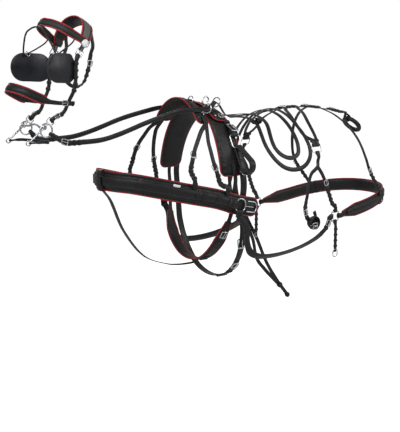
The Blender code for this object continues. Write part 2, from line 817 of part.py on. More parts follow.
def to_collar(track, reach_share, fan, rise):
    """A near uptug's route: over the yoke, down the shoulder and onto the collar's outer face."""
    route = []
    for k, share in enumerate(UPTUG_PAD_SHARES):
        lane = beside(neck_path, -share * NECK_PAD_WIDTH * fan, OVER_NECK_PAD + rise)
        route.append(lane[len(UPTUG_PAD_SHARES) - 1 - k])
    route += on_body(track[:1], UPTUG_LIFT + STRAP_THICKNESS + rise) + on_body(track[1:], UPTUG_LIFT + rise)
    point, face, _ = at_length(collar_path, COLLAR_LENGTH * reach_share)
    outside = COLLAR_THICKNESS / 2 + LAYER_GAP + STRAP_THICKNESS / 2
    for up_share in (0.80, 0.56, 0.31):
        route.append((point + face * outside + UP * (COLLAR_HEIGHT * up_share), face))
    return route


front_route = to_collar(FRONT_UPTUG_SHARES, FRONT_UPTUG_REACH_SHARE, 1.0, 0.0)
rear_route = to_collar(REAR_UPTUG_SHARES, REAR_UPTUG_REACH_SHARE, 0.5, GAP)
for label, side in SIDES:
    front = mirrored(eased(front_route, UPTUG_COUNT), side)
    rear = mirrored(eased(rear_route, UPTUG_COUNT), side)
    uptugs = strap(label + "_uptugs", front, UPTUG_WIDTH, STRAP_THICKNESS)
    branch = strap(label + "_rear_branch", rear, UPTUG_WIDTH, STRAP_THICKNESS * 0.8)
    unite(uptugs, [branch])
    for name, path, share in (
        ("_front_uptug_buckle", front, FRONT_BUCKLE_SHARE),
        ("_rear_uptug_buckle", rear, REAR_BUCKLE_SHARE),
    ):
        through_buckle(label + name, path, share, UPTUG_WIDTH, STRAP_THICKNESS, UPTUG_BAR, BUCKLE_LENGTH)

# False martingale: a loop round the collar at the chest, and a strap back to the girth
MARTINGALE_WIDTH = 0.030
MARTINGALE_SLACK = 0.0036
MARTINGALE_SHARES = (
    (-0.300, -0.500),
    (-0.262, -0.700),
    (-0.200, -0.880),
    (-0.120, -0.960),
    (-0.070, -0.975),
    (-0.035, -0.975),
)
chest, chest_face, _ = at_length(collar_path, COLLAR_LENGTH / 2)
inner = COLLAR_THICKNESS / 2 + MARTINGALE_SLACK + STRAP_THICKNESS / 2
outer = STRAP_OUT + HEAVY_THICKNESS / 2 + MARTINGALE_SLACK + STRAP_THICKNESS / 2
tall = COLLAR_HEIGHT / 2 + MARTINGALE_SLACK + STRAP_THICKNESS / 2
hold = []
for u, v in frame_loop(2 * tall, inner + outer, inner * 0.8, 2):
    spot = chest + UP * u + chest_face * (v + (outer - inner) / 2)
    out_way = (UP * (u / tall) + chest_face * (v / outer)).normalized()
    hold.append((spot, out_way))
mesh = swept_mesh(
    "false_martingale", hold, outline_of(FLAT_SHARES, MARTINGALE_WIDTH, STRAP_THICKNESS), closed=True
)
martingale = new_object("false_martingale", mesh, leather("false_martingale"))
tail = [(chest - UP * tall, Vector((-0.6, 0.0, -0.8)))]
for x_share, z_share in MARTINGALE_SHARES:
    tail.append((place((x_share, 0.0, z_share)), Vector((-0.5, 0.0, -0.86))))
tail[-1] = (tail[-1][0], -UP)
tail[-2] = (tail[-2][0], -UP)
run = strap("martingale_run", eased(tail, 15), MARTINGALE_WIDTH * 0.9, STRAP_THICKNESS)
unite(martingale, [run])

# Rear: the backstrap along the spine, turned round the crupper's front
CRUPPER_SHARES = ((0.545, -0.100), (0.585, -0.190))
CRUPPER_HALF_WIDTH = 0.045
crupper_front = place((CRUPPER_SHARES[0][0], 0.0, CRUPPER_SHARES[0][1]))
crupper_back = place((CRUPPER_SHARES[1][0], 0.0, CRUPPER_SHARES[1][1]))
crupper_middle = (crupper_front + crupper_back) / 2
crupper_reach = (crupper_back - crupper_front) / 2
crupper_face = Vector((0.0, 1.0, 0.0)).cross(crupper_reach).normalized() * -1
if crupper_face.z < 0:
    crupper_face.negate()
ring = []
for k in range(20):
    angle = 2 * math.pi * k / 20
    sideways = Vector((0.0, CRUPPER_HALF_WIDTH * math.sin(angle), 0.0))
    ring.append((crupper_middle - crupper_reach * math.cos(angle) + sideways, crupper_face))
crupper_mesh = swept_mesh("crupper", ring, round_outline(CRUPPER_RADIUS, 8), closed=True)
crupper = new_object("crupper", crupper_mesh, leather("crupper"))
crupper.data.shade_smooth()
hung_from(crupper, crupper_front)

BACKSTRAP_SHARES = (0.030, 0.090, 0.160, 0.230, 0.300, 0.370, 0.430, 0.480, 0.510)
backstrap_path = on_body([(share, 0) for share in BACKSTRAP_SHARES], STRAP_THICKNESS / 2)
way = crupper_reach.normalized()
CRUPPER_SAG = 0.0028
CRUPPER_FOLD_SHARE = 0.55
crupper_bar = CRUPPER_RADIUS + CRUPPER_SAG
lead, turn = eye(crupper_front, way, crupper_face, STRAP_THICKNESS, crupper_bar, FOLD_RUN * 1.5)
backstrap_path = eased(backstrap_path + lead + turn[:1], 26) + turn[1:]
backstrap_scales = [(1.0, 1.0)] * (len(backstrap_path) - len(turn) - 1)
backstrap_scales += [(CRUPPER_FOLD_SHARE, 1.0)] * (len(turn) + 1)
strap("backstrap", backstrap_path, BACKSTRAP_WIDTH, STRAP_THICKNESS, scales=backstrap_scales)

# Loin straps: two straps over the back that meet at a ring on each hip
HIP_SHARE = 0.268
HIP_DEGREES = 65
HIP_LINK_LENGTH = 0.036
HIP_LINK_WIDTH = 2 * LOIN_WIDTH + 2 * (LINK_CORNER + SIDE_CLEARANCE)
HIP_LIFT = 0.010
FRONT_LOIN_SHARES = ((0.246, 50), (0.241, 36), (0.250, 22), (0.264, 10))
REAR_LOIN_SHARES = ((0.282, 50), (0.286, 36), (0.300, 22), (0.312, 10))
CROSS_LIFT = STRAP_THICKNESS * 1.5 + LAYER_GAP + 2 * GAP
CROSS_DEGREES = 5.5
hip_point = body_point(HIP_SHARE, HIP_DEGREES)
hip_face = body_normal(HIP_SHARE, HIP_DEGREES)
hip_down = (body_point(HIP_SHARE, HIP_DEGREES + 3) - hip_point).normalized()
hip_centre = hip_point + hip_face * HIP_LIFT
hip_across = hip_face.cross(hip_down).normalized()
for label, side in SIDES:
    link(
        label + "_hip_ring",
        flip(hip_centre, side),
        flip(hip_down, side),
        flip(hip_face, side),
        HIP_LINK_LENGTH,
        HIP_LINK_WIDTH,
        BAR_RADIUS,
    )


def crossing(x_share):
    """The near half of a strap's hump over the backstrap."""
    hump = on_body([(x_share, CROSS_DEGREES)], CROSS_LIFT)
    return hump + on_body([(x_share, CROSS_DEGREES / 2)], CROSS_LIFT) + on_body([(x_share, 0)], CROSS_LIFT)


def over_back(name, ends, track, x_share, width):
    """A strap from one hip, over the backstrap and down to the other."""
    lead, turn = ends
    skin = on_body(track, STRAP_THICKNESS / 2)
    half = turn[::-1] + eased([turn[0]] + lead[::-1] + skin, 11)[1:] + crossing(x_share)
    strap(name, full_round(half), width, STRAP_THICKNESS)


for name, along_side, track, x_share in (
    ("front_loin_strap", -1.0, FRONT_LOIN_SHARES, 0.272),
    ("rear_loin_strap", 1.0, REAR_LOIN_SHARES, 0.318),
):
    forward = hip_across * (1.0 if hip_across.x > 0 else -1.0)
    bar = hip_centre - hip_down * (HIP_LINK_LENGTH / 2)
    bar += forward * (along_side * (LOIN_WIDTH / 2 + LAYER_GAP))
    ends = eye(bar, hip_down, hip_face, STRAP_THICKNESS, BAR_RADIUS, FOLD_RUN * 0.7)
    over_back(name, ends, track, x_share, LOIN_WIDTH)

# Breeching: a padded band behind the haunches between two square rings
BREECHING_SHARES = (
    (0.362, -0.515, -0.712),
    (0.400, -0.510, -0.700),
    (0.450, -0.500, -0.685),
    (0.500, -0.478, -0.665),
    (0.550, -0.425, -0.645),
    (0.600, -0.310, -0.628),
    (0.630, -0.160, -0.620),
    (0.638, 0.0, -0.618),
)
RING_SHARES = (0.330, -0.517, -0.720)
RING_SIDE = 0.052
BREECHING_COUNT = 29
BREECHING_END_WIDTH = 0.026
ring_centre = place(RING_SHARES)
breeching_path = level_path(BREECHING_SHARES, -1.0, BREECHING_COUNT)
rear_bar = ring_centre + Vector((RING_SIDE / 2, 0.0, 0.0))
lead, turn = eye(rear_bar, Vector((-1.0, 0.0, 0.0)), OUT, HEAVY_THICKNESS, HEAVY_BAR_RADIUS)
near_end = turn[::-1] + lead
far_end = [(flip(point, 1.0), flip(face, 1.0)) for point, face in near_end][::-1]
narrow = (BREECHING_END_WIDTH / BREECHING_HEIGHT, HEAVY_THICKNESS / BREECHING_THICKNESS)
breeching_scales = [narrow] * len(near_end)
for k in range(BREECHING_COUNT):
    grown = min(min(k, BREECHING_COUNT - 1 - k) / 2, 1.0)
    breeching_scales.append((narrow[0] + (1 - narrow[0]) * grown, narrow[1] + (1 - narrow[1]) * grown))
breeching_scales += [narrow] * len(far_end)
breeching_whole = near_end + breeching_path + far_end
pad("breeching", breeching_whole, BREECHING_HEIGHT, BREECHING_THICKNESS, breeching_scales)
for label, side in SIDES:
    link(
        label + "_breeching_ring",
        flip(ring_centre, side),
        Vector((1.0, 0.0, 0.0)),
        flip(OUT, side),
        RING_SIDE,
        RING_SIDE,
        HEAVY_BAR_RADIUS,
    )

# Hip forks: from each hip ring, one leg to the trace and one to the breeching ring
FORK_SKIN_SHARES = ((0.268, 74), (0.264, 80))
BEARER_SHARES = (
    (0.238, -0.500, -0.420),
    (0.220, -0.517, -0.560),
    (0.212, -0.520, -0.655),
    (0.232, -0.522, -0.735),
    (0.252, -0.522, -0.715),
    (0.246, -0.522, -0.665),
)
UPTUG_LEG_SHARES = ((0.284, -0.505, -0.440), (0.304, -0.515, -0.560), (0.320, -0.517, -0.640))
fork_bar = hip_centre + hip_down * (HIP_LINK_LENGTH / 2)
lead, turn = eye(fork_bar, -hip_down, hip_face, STRAP_THICKNESS, BAR_RADIUS, FOLD_RUN * 0.7)
ring_top = ring_centre + UP * (RING_SIDE / 2)
leg_lead, leg_turn = eye(ring_top, -UP, OUT, STRAP_THICKNESS, HEAVY_BAR_RADIUS, FOLD_RUN * 0.7)
for label, side in SIDES:
    skin = on_body(FORK_SKIN_SHARES, STRAP_THICKNESS)
    bearer = [(place(shares), OUT) for shares in BEARER_SHARES]
    path = turn[::-1] + eased([turn[0]] + lead[::-1] + skin + bearer, 20)[1:]
    fork = strap(label + "_hip_fork", mirrored(path, side), LOIN_WIDTH, STRAP_THICKNESS)
    leg = [(place(shares), OUT) for shares in UPTUG_LEG_SHARES]
    leg_path = eased(skin[1:] + leg + leg_lead + leg_turn[:1], 12) + leg_turn[1:]
    branch = strap(label + "_leg", mirrored(leg_path, side), LOIN_WIDTH, STRAP_THICKNESS * 0.8)
    unite(fork, [branch])

# Rear hip strap: over the croup and down onto the breeching's outer face
CROUP_SHARES = ((0.482, 94), (0.466, 82), (0.448, 62), (0.430, 44), (0.412, 26), (0.400, 12))
CROUP_SHARE = 0.393
CROUP_WIDTH = 0.020
CROUP_REACH_SHARE = 0.245
breeching_length = path_length(breeching_path)
point, face, _ = at_length(breeching_path, breeching_length * CROUP_REACH_SHARE)
outside = BREECHING_THICKNESS / 2 + LAYER_GAP + STRAP_THICKNESS / 2
half = [
    (point + face * outside - UP * (BREECHING_HEIGHT * 0.2), face),
    (point + face * outside + UP * (BREECHING_HEIGHT * 0.45), face),
]
half += on_body(CROUP_SHARES, STRAP_THICKNESS * 1.2)
half = eased(half, 18) + crossing(CROUP_SHARE)
strap("rear_hip_strap", full_round(half), CROUP_WIDTH, STRAP_THICKNESS)

# Holdbacks: short straps that hang from the breeching rings
HOLDBACK_WIDTH = 0.020
ring_foot = ring_centre - UP * (RING_SIDE / 2)
lead, turn = eye(ring_foot, UP, OUT, STRAP_THICKNESS, HEAVY_BAR_RADIUS, FOLD_RUN * 0.7)
for label, side in SIDES:
    start = lead[0][0]
    hang = [(start - UP * (HOLDBACK_LENGTH * k / 6), OUT) for k in range(7)]
    path = turn[::-1] + hang
    holdback = strap(label + "_holdback", mirrored(path, side), HOLDBACK_WIDTH, STRAP_THICKNESS)
    hung_from(holdback, flip(ring_foot, side))

# Traces: from the collar's ring, slack under the flank, to the breeching ring
TRACE_SHARES = (
    (0.000, -0.530, -0.700),
    (0.004, -0.528, -0.800),
    (0.020, -0.520, -0.872),
    (0.067, -0.515, -0.910),
    (0.161, -0.515, -0.905),
    (0.245, -0.517, -0.860),
    (0.290, -0.519, -0.800),
)
TRACE_FACE_SHARES = (
    (-1.0, 0.0),
    (-1.0, -0.15),
    (-0.85, -0.50),
    (-0.75, -0.66),
    (-0.75, -0.66),
    (-0.85, -0.50),
    (-0.96, -0.2),
)
TRACE_END_WIDTH = 0.026
front_bar = ring_centre - Vector((RING_SIDE / 2, 0.0, 0.0))
for label, side in SIDES:
    centre, link_up, face = trace_links["near"]
    low = centre - link_up * (TRACE_LINK_WIDTH / 2)
    lead, turn = eye(low, link_up, face, HEAVY_THICKNESS, HEAVY_BAR_RADIUS)
    end_lead, end_turn = eye(
        front_bar, Vector((1.0, 0.0, 0.0)), OUT, HEAVY_THICKNESS, HEAVY_BAR_RADIUS, FOLD_RUN * 0.6
    )
    sag = []
    for shares, (out, down) in zip(TRACE_SHARES, TRACE_FACE_SHARES):
        sag.append((place(shares), Vector((0.0, out, down)).normalized()))
    path = turn[::-1] + lead + eased(lead + sag + end_lead, 26)[1:] + end_turn
    scales = [(1.0, 1.0)] * len(path)
    slim = TRACE_END_WIDTH / TRACE_WIDTH
    for k in range(len(end_turn) + 3):
        scales[-1 - k] = (slim, 1.0)
    strap(label + "_trace", mirrored(path, side), TRACE_WIDTH, HEAVY_THICKNESS, scales=scales)

# Bridle: the crown piece, with a throatlash billet on each end
HEAD_CORNER = 0.005
HEAD_BAR = 0.0025
CHEEK_LINK_LENGTH = 0.030
CHEEK_LINK_WIDTH = BRIDLE_WIDTH + 2 * (HEAD_CORNER + SIDE_CLEARANCE)
CHEEK_BUCKLE_SHARES = (0.090, -0.500, 0.567)
POLL = -FACE_DOWN


def over_poll(rows):
    """(down, side, back, lean) shares on the head; the lean turns the face from the side to the poll."""
    path = []
    for down, side, back, degrees in rows:
        lean = math.radians(degrees)
        path.append((head(down, side, back), OUT * math.cos(lean) + POLL * math.sin(lean)))
    return path


def round_head(rows):
    """The same round the face: 0 degrees faces forward, 90 to the near side, 180 to the rear."""
    path = []
    for down, side, back, degrees in rows:
        lean = math.radians(degrees)
        path.append((head(down, side, back), OUT * math.sin(lean) - FACE_BACK * math.cos(lean)))
    return path


cheek_centre = head(*CHEEK_BUCKLE_SHARES)
cheek_top = cheek_centre - FACE_DOWN * (CHEEK_LINK_LENGTH / 2)
cheek_foot = cheek_centre + FACE_DOWN * (CHEEK_LINK_LENGTH / 2)
CROWN_SHARES = (
    (-0.030, -0.514, 0.545, 4),
    (-0.100, -0.470, 0.530, 28),
    (-0.150, -0.340, 0.520, 58),
    (-0.176, -0.170, 0.520, 78),
    (-0.182, 0.0, 0.520, 90),
)
CROWN_FOLD_SHARES = (BRIDLE_WIDTH / CROWN_WIDTH, STRAP_THICKNESS / CROWN_THICKNESS)
CROWN_TOP_SHARE = 1.45
lead, turn = eye(cheek_top, FACE_DOWN, OUT, STRAP_THICKNESS, HEAD_BAR, FOLD_RUN * 0.7)
crown_half = eased(over_poll(CROWN_SHARES), 8)
crown_path = full_round(turn[::-1] + lead + crown_half)
crown_scales = [CROWN_FOLD_SHARES] * (len(turn) + 1)
for k in range(8):
    crown_scales.append((1.0 + (CROWN_TOP_SHARE - 1.0) * min(k / 6, 1.0), 1.0))
crown_scales += crown_scales[:-1][::-1]
crown = pad("crown_piece", crown_path, CROWN_WIDTH, CROWN_THICKNESS, crown_scales)
BILLET_SHARES = (
    (-0.095, -0.474, 0.600, 90),
    (-0.050, -0.500, 0.665, 90),
    (-0.010, -0.508, 0.724, 90),
    (0.040, -0.505, 0.742, 90),
    (0.110, -0.492, 0.790, 92),
)
billets = []
for label, side in SIDES:
    billet_path = mirrored(eased(round_head(BILLET_SHARES), 9), side)
    billets.append(strap(label + "_billet", billet_path, BRIDLE_WIDTH, STRAP_THICKNESS))
unite(crown, billets)
crown.data.shade_smooth()
for label, side in SIDES:
    link(
        label + "_cheek_buckle",
        flip(cheek_centre, side),
        FACE_DOWN,
        flip(OUT, side),
        CHEEK_LINK_LENGTH,
        CHEEK_LINK_WIDTH,
        HEAD_BAR,
        HEAD_CORNER,
    )

# Browband: padded over the forehead, its thin ends looped round the crown piece
BROWBAND_SHARES = (
    (0.0, -0.505, 0.350, 86),
    (0.0, -0.440, 0.190, 66),
    (0.0, -0.270, 0.050, 30),
    (0.0, 0.0, -0.010, 0),
)
LOOP_SHARES = (0.80, 0.30)
loop_radius = CROWN_THICKNESS / 2 + GAP + BROWBAND_THICKNESS * LOOP_SHARES[1] / 2
loop_middle = head(0.0, -0.518, 0.545)
loop_rear = loop_middle + FACE_BACK * (CROWN_WIDTH / 2)
loop_path = [(loop_middle - OUT * loop_radius - FACE_BACK * (CROWN_WIDTH * 0.30), -OUT)]
for k in range(5):
    angle = math.pi * k / 4
    radial = FACE_BACK * math.sin(angle) - OUT * math.cos(angle)
    loop_path.append((loop_rear + radial * loop_radius, radial))
loop_path.append((loop_middle + OUT * loop_radius - FACE_BACK * (CROWN_WIDTH * 0.52), OUT))
brow_half = eased(round_head(BROWBAND_SHARES), 8)
brow_path = full_round(loop_path + brow_half)
brow_scales = [LOOP_SHARES] * len(loop_path) + [(0.95, 0.80)] + [(1.0, 1.0)] * 7
brow_scales += brow_scales[:-1][::-1]
pad("browband", brow_path, BROWBAND_WIDTH, BROWBAND_THICKNESS, brow_scales)

# Noseband: padded over the nose, a thin strap under the jaw
NOSE_SHARES = (
    (0.558, 0.0, -0.020, 0),
    (0.555, -0.210, 0.040, 22),
    (0.548, -0.320, 0.160, 58),
    (0.535, -0.385, 0.390, 84),
    (0.515, -0.425, 0.560, 88),
    (0.480, -0.452, 0.700, 90),
    (0.450, -0.450, 0.800, 98),
    (0.430, -0.370, 0.900, 130),
    (0.420, -0.190, 0.960, 165),
    (0.418, 0.0, 0.975, 180),
)
JAW_SHARES = (0.50, 0.38)
nose_near = round_head(NOSE_SHARES)
nose_far = [(flip(point, 1.0), flip(face, 1.0)) for point, face in nose_near[1:-1]][::-1]
nose_path = eased(nose_near + nose_far, 36, closed=True)
nose_scales = []
for point, _ in nose_path:
    depth = (point - place(BROW_SHARES)).dot(FACE_BACK) / HEAD_DEPTH
    grown = min(max((0.55 - depth) / 0.15, 0.0), 1.0)
    nose_scales.append(
        (JAW_SHARES[0] + (1 - JAW_SHARES[0]) * grown, JAW_SHARES[1] + (1 - JAW_SHARES[1]) * grown)
    )
nose_outline = outline_of(PADDED_SHARES, NOSEBAND_WIDTH, NOSEBAND_THICKNESS)
nose_mesh = swept_mesh("noseband", nose_path, nose_outline, nose_scales, closed=True)
noseband = new_object("noseband", nose_mesh, leather("noseband"))
noseband.data.shade_smooth()

# Throatlash: from billet to billet under the throat
THROAT_SHARES = (
    (0.050, -0.532, 0.742, 90),
    (0.110, -0.515, 0.790, 92),
    (0.170, -0.480, 0.835, 104),
    (0.230, -0.370, 0.900, 128),
    (0.262, -0.190, 0.950, 160),
    (0.270, 0.0, 0.965, 180),
)
strap("throatlash", eased(full_round(round_head(THROAT_SHARES)), 27), BRIDLE_WIDTH, STRAP_THICKNESS)

# Bit: a straight mouthpiece through the bosses of two lever cheeks
BIT_SIDE_SHARE = -0.4091
CHEEK_TOP_SHARES = (0.6266, BIT_SIDE_SHARE, 0.6850)
SHANK_FOOT_SHARES = (0.8532, BIT_SIDE_SHARE, 0.5200)
BIT_SLOT_LENGTH = 0.024
BIT_SLOT_WIDTH = 0.034
BOSS_RADIUS = 0.0110
BOSS_LENGTH = 0.0100
BOSS_REACH_SHARE = 0.36
RING_DROP = 0.0160
CURB_RING_RADIUS = 0.0110
CURB_BAR = 0.0030
BIT_HEAD_LENGTH = 0.0030
top = head(*CHEEK_TOP_SHARES)
foot = head(*SHANK_FOOT_SHARES)
shank = (foot - top).normalized()
shank_side = OUT.cross(shank).normalized()
if shank_side.x < 0:
    shank_side.negate()
boss = top + shank * ((foot - top).length * BOSS_REACH_SHARE)
ring_middle = boss + shank_side * RING_DROP
curb_ring = foot + shank * CURB_RING_RADIUS


def hoop(name, centre, radius, bar, steps, axis):
    """A round ring in the plane square to its axis."""
    first = shank.copy()
    second = axis.cross(first)
    path = []
    for k in range(steps):
        angle = 2 * math.pi * k / steps
        radial = first * math.cos(angle) + second * math.sin(angle)
        path.append((centre + radial * radius, radial))
    mesh = swept_mesh(name, path, round_outline(bar, 6), closed=True)
    return new_object(name, mesh, chrome(name))


for label, side in SIDES:
    axis = flip(OUT, side)
    shaft = [(flip(top + shank * (BIT_SLOT_LENGTH * 0.9), side), axis), (flip(foot, side), axis)]
    cheek = new_object(
        label + "_bit_cheek",
        swept_mesh("shank", shaft, round_outline(BIT_CHEEK_BAR, 6), [(1.2, 1.2), (0.8, 0.8)]),
        chrome(label + "_bit_cheek"),
    )
    slot_centre = flip(top + shank * (BIT_SLOT_LENGTH / 2), side)
    slot = link("slot", slot_centre, shank, axis, BIT_SLOT_LENGTH, BIT_SLOT_WIDTH, HEAD_BAR, HEAD_CORNER)
    ring = hoop("ring", flip(ring_middle, side), BIT_RING_RADIUS, BIT_CHEEK_BAR, 20, axis)
    curb = hoop("curb", flip(curb_ring, side), CURB_RING_RADIUS, CURB_BAR, 12, axis)
    ends = [flip(boss, side) + axis * (BOSS_LENGTH / 2), flip(boss, side) - axis * (BOSS_LENGTH / 2)]
    hub = new_object(
        "hub",
        swept_mesh("hub", [(ends[0], shank), (ends[1], shank)], round_outline(BOSS_RADIUS, 12)),
        cheek.data.materials[0],
    )
    unite(cheek, [slot, ring, curb, hub])
    drill = swept_mesh(
        "drill", [(ends[0] + axis * BOSS_LENGTH, shank), (ends[1] - axis * BOSS_LENGTH, shank)],
        round_outline(BIT_BAR + 2 * GAP, 12),
    )
    cut(cheek, [new_object("drill", drill, cheek.data.materials[0])])
    cheek.data.shade_smooth()

reach = -boss.y + BOSS_LENGTH / 2 + GAP
BIT_HEAD_SHARE = 1.8
PORT_RISE = 0.012
inside = reach - BOSS_LENGTH - 4 * GAP
mouth = [
    (reach + BIT_HEAD_LENGTH, BIT_HEAD_SHARE, 0.0),
    (reach, BIT_HEAD_SHARE, 0.0),
    (reach, 1.0, 0.0),
    (inside, 1.0, 0.0),
    (inside * 0.55, 1.15, 0.0),
    (inside * 0.30, 1.15, PORT_RISE * 0.7),
    (0.0, 1.15, PORT_RISE),
]
mouth += [(-across, scale, rise) for across, scale, rise in mouth[:-1]][::-1]
mouth_path = [(Vector((boss.x, -across, boss.z)) + POLL * rise, FACE_BACK) for across, _, rise in mouth]
mouth_mesh = swept_mesh(
    "bit_mouthpiece", mouth_path, round_outline(BIT_BAR, 12), [(scale, scale) for _, scale, _ in mouth]
)
mouthpiece = new_object("bit_mouthpiece", mouth_mesh, chrome("bit_mouthpiece"))
mouthpiece.data.shade_smooth()

# Cheekpieces: from the cheek buckle, over the blinker's rear edge, to the slot of the bit
CHEEKPIECE_SHARES = (
    (0.333, -0.505, 0.750, 90),
    (0.450, -0.4825, 0.772, 90),
    (0.540, -0.462, 0.782, 90),
)
lead, turn = eye(cheek_foot, -FACE_DOWN, OUT, STRAP_THICKNESS, HEAD_BAR, FOLD_RUN * 0.7)
low_lead, low_turn = eye(top, shank, OUT, STRAP_THICKNESS, HEAD_BAR, FOLD_RUN * 0.7)
for label, side in SIDES:
    path = [turn[0]] + lead[::-1] + round_head(CHEEKPIECE_SHARES) + low_lead + low_turn[:1]
    path = turn[::-1] + eased(path, 14)[1:] + low_turn[1:]
    strap(label + "_cheekpiece", mirrored(path, side), BRIDLE_WIDTH, STRAP_THICKNESS)

# Blinkers: stiff plates, their rear edges under the cheekpieces and their front edges flared
BLINKER_SHARES = (
    (0.2030, -0.4780, 0.6400, 90),
    (0.2139, -0.4760, 0.6078, 90),
    (0.2297, -0.5230, 0.5530, 90),
    (0.2572, -0.6136, 0.4498, 90),
    (0.2890, -0.6727, 0.3324, 90),
    (0.3222, -0.7090, 0.2168, 90),
    (0.3511, -0.7270, 0.1155, 90),
)
BLINKER_EDGE_SHARES = (
    (0.66, 0.45), (0.86, 0.75), (0.96, 1.0), (1.0, 1.0), (1.0, 1.0), (1.0, 1.0),
    (1.0, 1.0), (0.97, 1.0), (0.88, 0.9), (0.64, 0.6),
)
blinker_path = eased(round_head(BLINKER_SHARES), len(BLINKER_EDGE_SHARES))
for label, side in SIDES:
    pad(label + "_blinker", mirrored(blinker_path, side), BLINKER_HEIGHT, BLINKER_THICKNESS, BLINKER_EDGE_SHARES)

# Blinker stay: a rolled strap under the browband, forked to each blinker's top
STAY_SHARES = (
    (0.2328, -0.6580, 0.2003, 90),
    (0.1755, -0.5680, 0.0967, 80),
    (0.1015, -0.3640, -0.0330, 50),
    (0.0650, -0.1800, -0.0500, 20),
    (0.0560, 0.0, -0.0500, 0),
)
STAY_LEG_SHARES = (
    (0.0590, -0.5300, 0.3800, 90),
    (0.1300, -0.5600, 0.3100, 90),
    (0.1900, -0.6000, 0.2400, 90),
    (0.2262, -0.6570, 0.2050, 90),
)
STAY_TOP_SHARES = ((0.0600, 0.0, -0.0500, 0), (0.0480, 0.0, -0.0320, 0), (0.0345, 0.0, -0.0110, 0))
stay_path = eased(full_round(round_head(STAY_SHARES)), 23)
stay_mesh = swept_mesh("blinker_stay", stay_path, round_outline(STAY_RADIUS, 6))
stay = new_object("blinker_stay", stay_mesh, leather("blinker_stay"))
legs = []
for label, side in SIDES:
    leg_path = mirrored(eased(round_head(STAY_LEG_SHARES), 6), side)
    leg_mesh = swept_mesh("leg", leg_path, round_outline(STAY_RADIUS * 0.85, 6))
    legs.append(new_object("leg", leg_mesh, stay.data.materials[0]))
rise_path = [(point, OUT) for point, _ in round_head(STAY_TOP_SHARES)]
rise_mesh = swept_mesh("leg", rise_path, round_outline(STAY_RADIUS * 0.85, 6))
legs.append(new_object("leg", rise_mesh, stay.data.materials[0]))
unite(stay, legs)
stay.data.shade_smooth()

# Curb strap: from one lower ring, behind the chin, to the other
CURB_SHARES = (
    (0.8086, -0.3995, 0.7076),
    (0.7825, -0.3218, 0.8242),
    (0.7651, -0.1691, 0.8966),
    (0.7611, 0.0, 0.9151),
)
CURB_FACE_SHARES = ((0.0, -1.0), (0.70, -0.72), (0.94, -0.35), (1.0, 0.0))
CURB_FOLD_SHARE = 0.55
CURB_SLACK = 0.0014
way = (curb_ring - head(*CURB_SHARES[0])).normalized()
way.y = 0
way.normalize()
curb_bar = curb_ring - way * CURB_RING_RADIUS
lead, turn = eye(curb_bar, way, OUT, STRAP_THICKNESS, CURB_BAR + CURB_SLACK, FOLD_RUN * 0.6)
curb_half = [turn[0]] + lead
for shares, (back, out) in zip(CURB_SHARES, CURB_FACE_SHARES):
    curb_half.append((head(*shares), Vector((back, out, 0.0)).normalized()))
CURB_COUNT = 19
curb_middle = eased(full_round(curb_half), CURB_COUNT)
curb_path = turn[::-1] + curb_middle[1:-1] + [(flip(point, 1.0), flip(face, 1.0)) for point, face in turn]
curb_ends = [(CURB_FOLD_SHARE, 1.0)] * (len(turn) + 1)
curb_scales = curb_ends + [(1.0, 1.0)] * (CURB_COUNT - 4) + curb_ends
curb_strap = strap("curb_strap", curb_path, CURB_WIDTH, STRAP_THICKNESS, scales=curb_scales)
hung_from(curb_strap, Vector((curb_ring.x, 0.0, curb_ring.z)))

# Reins: from the bit's rings through the terrets, over the back in loops and down the far side
REIN_FRONT_SHARES = (
    (-0.4685, -0.1680, -0.1050),
    (-0.4500, -0.1750, -0.1220),
    (-0.4150, -0.1900, -0.1230),
    (-0.3625, -0.2000, -0.1175),
    (-0.3100, -0.2000, -0.0900),
    (-0.2200, -0.2000, -0.0250),
    (-0.1250, -0.1900, 0.0240),
)
NEAR_BACK_SHARES = (
    (0.045, 13, 0),
    (0.085, 12, 0),
    (0.112, 17, 0),
    (0.119, 26, 0),
    (0.110, 40, 0),
    (0.108, 52, 0),
    (0.120, 62, 0),
    (0.145, 71, 0),
    (0.180, 76, 0),
    (0.216, 76, 0.5),
    (0.236, 70, 2.0),
    (0.240, 62, 3.0),
    (0.239, 50, 1.5),
    (0.236, 38, 0),
    (0.235, 26, 0),
    (0.235, 12, 0),
    (0.235, 0, 0),
    (0.234, -12, 0),
    (0.232, -30, 0),
    (0.232, -50, 0),
    (0.236, -68, 0.5),
)
FAR_BACK_SHARES = (
    (0.045, -13, 0),
    (0.085, -12, 0),
    (0.118, -7, 0),
    (0.140, 2, 0),
    (0.152, 14, 0),
    (0.150, 28, 0),
    (0.137, 42, 0),
    (0.134, 54, 0),
    (0.150, 62, 0),
    (0.176, 66, 0),
    (0.200, 65, 0),
    (0.210, 56, 0),
    (0.211, 42, 0),
    (0.211, 26, 0),
    (0.211, 12, 0),
    (0.211, 0, 0),
    (0.210, -12, 0),
    (0.208, -30, 0),
    (0.206, -50, 0),
    (0.208, -68, 0),
)
NEAR_FALL_SHARES = (
    (0.262, 0.562, -0.640),
    (0.310, 0.568, -0.860),
    (0.343, 0.568, -0.993),
    (0.386, 0.568, -1.199),
    (0.434, 0.566, -1.366),
    (0.478, 0.562, -1.495),
)
FAR_FALL_SHARES = (
    (0.236, 0.545, -0.640),
    (0.290, 0.548, -0.860),
    (0.322, 0.548, -0.993),
    (0.340, 0.548, -1.151),
    (0.374, 0.548, -1.249),
    (0.421, 0.546, -1.360),
    (0.440, 0.546, -1.400),
)
REIN_LIFT = 0.0082
REIN_COUNT = 88
REIN_FOLD_SHARE = 0.58
REIN_SLACK = 0.0016
rein_way = (ring_middle - place(REIN_FRONT_SHARES[0])).normalized()
rein_way.y = 0
rein_way.normalize()
rein_bar = ring_middle - rein_way * BIT_RING_RADIUS
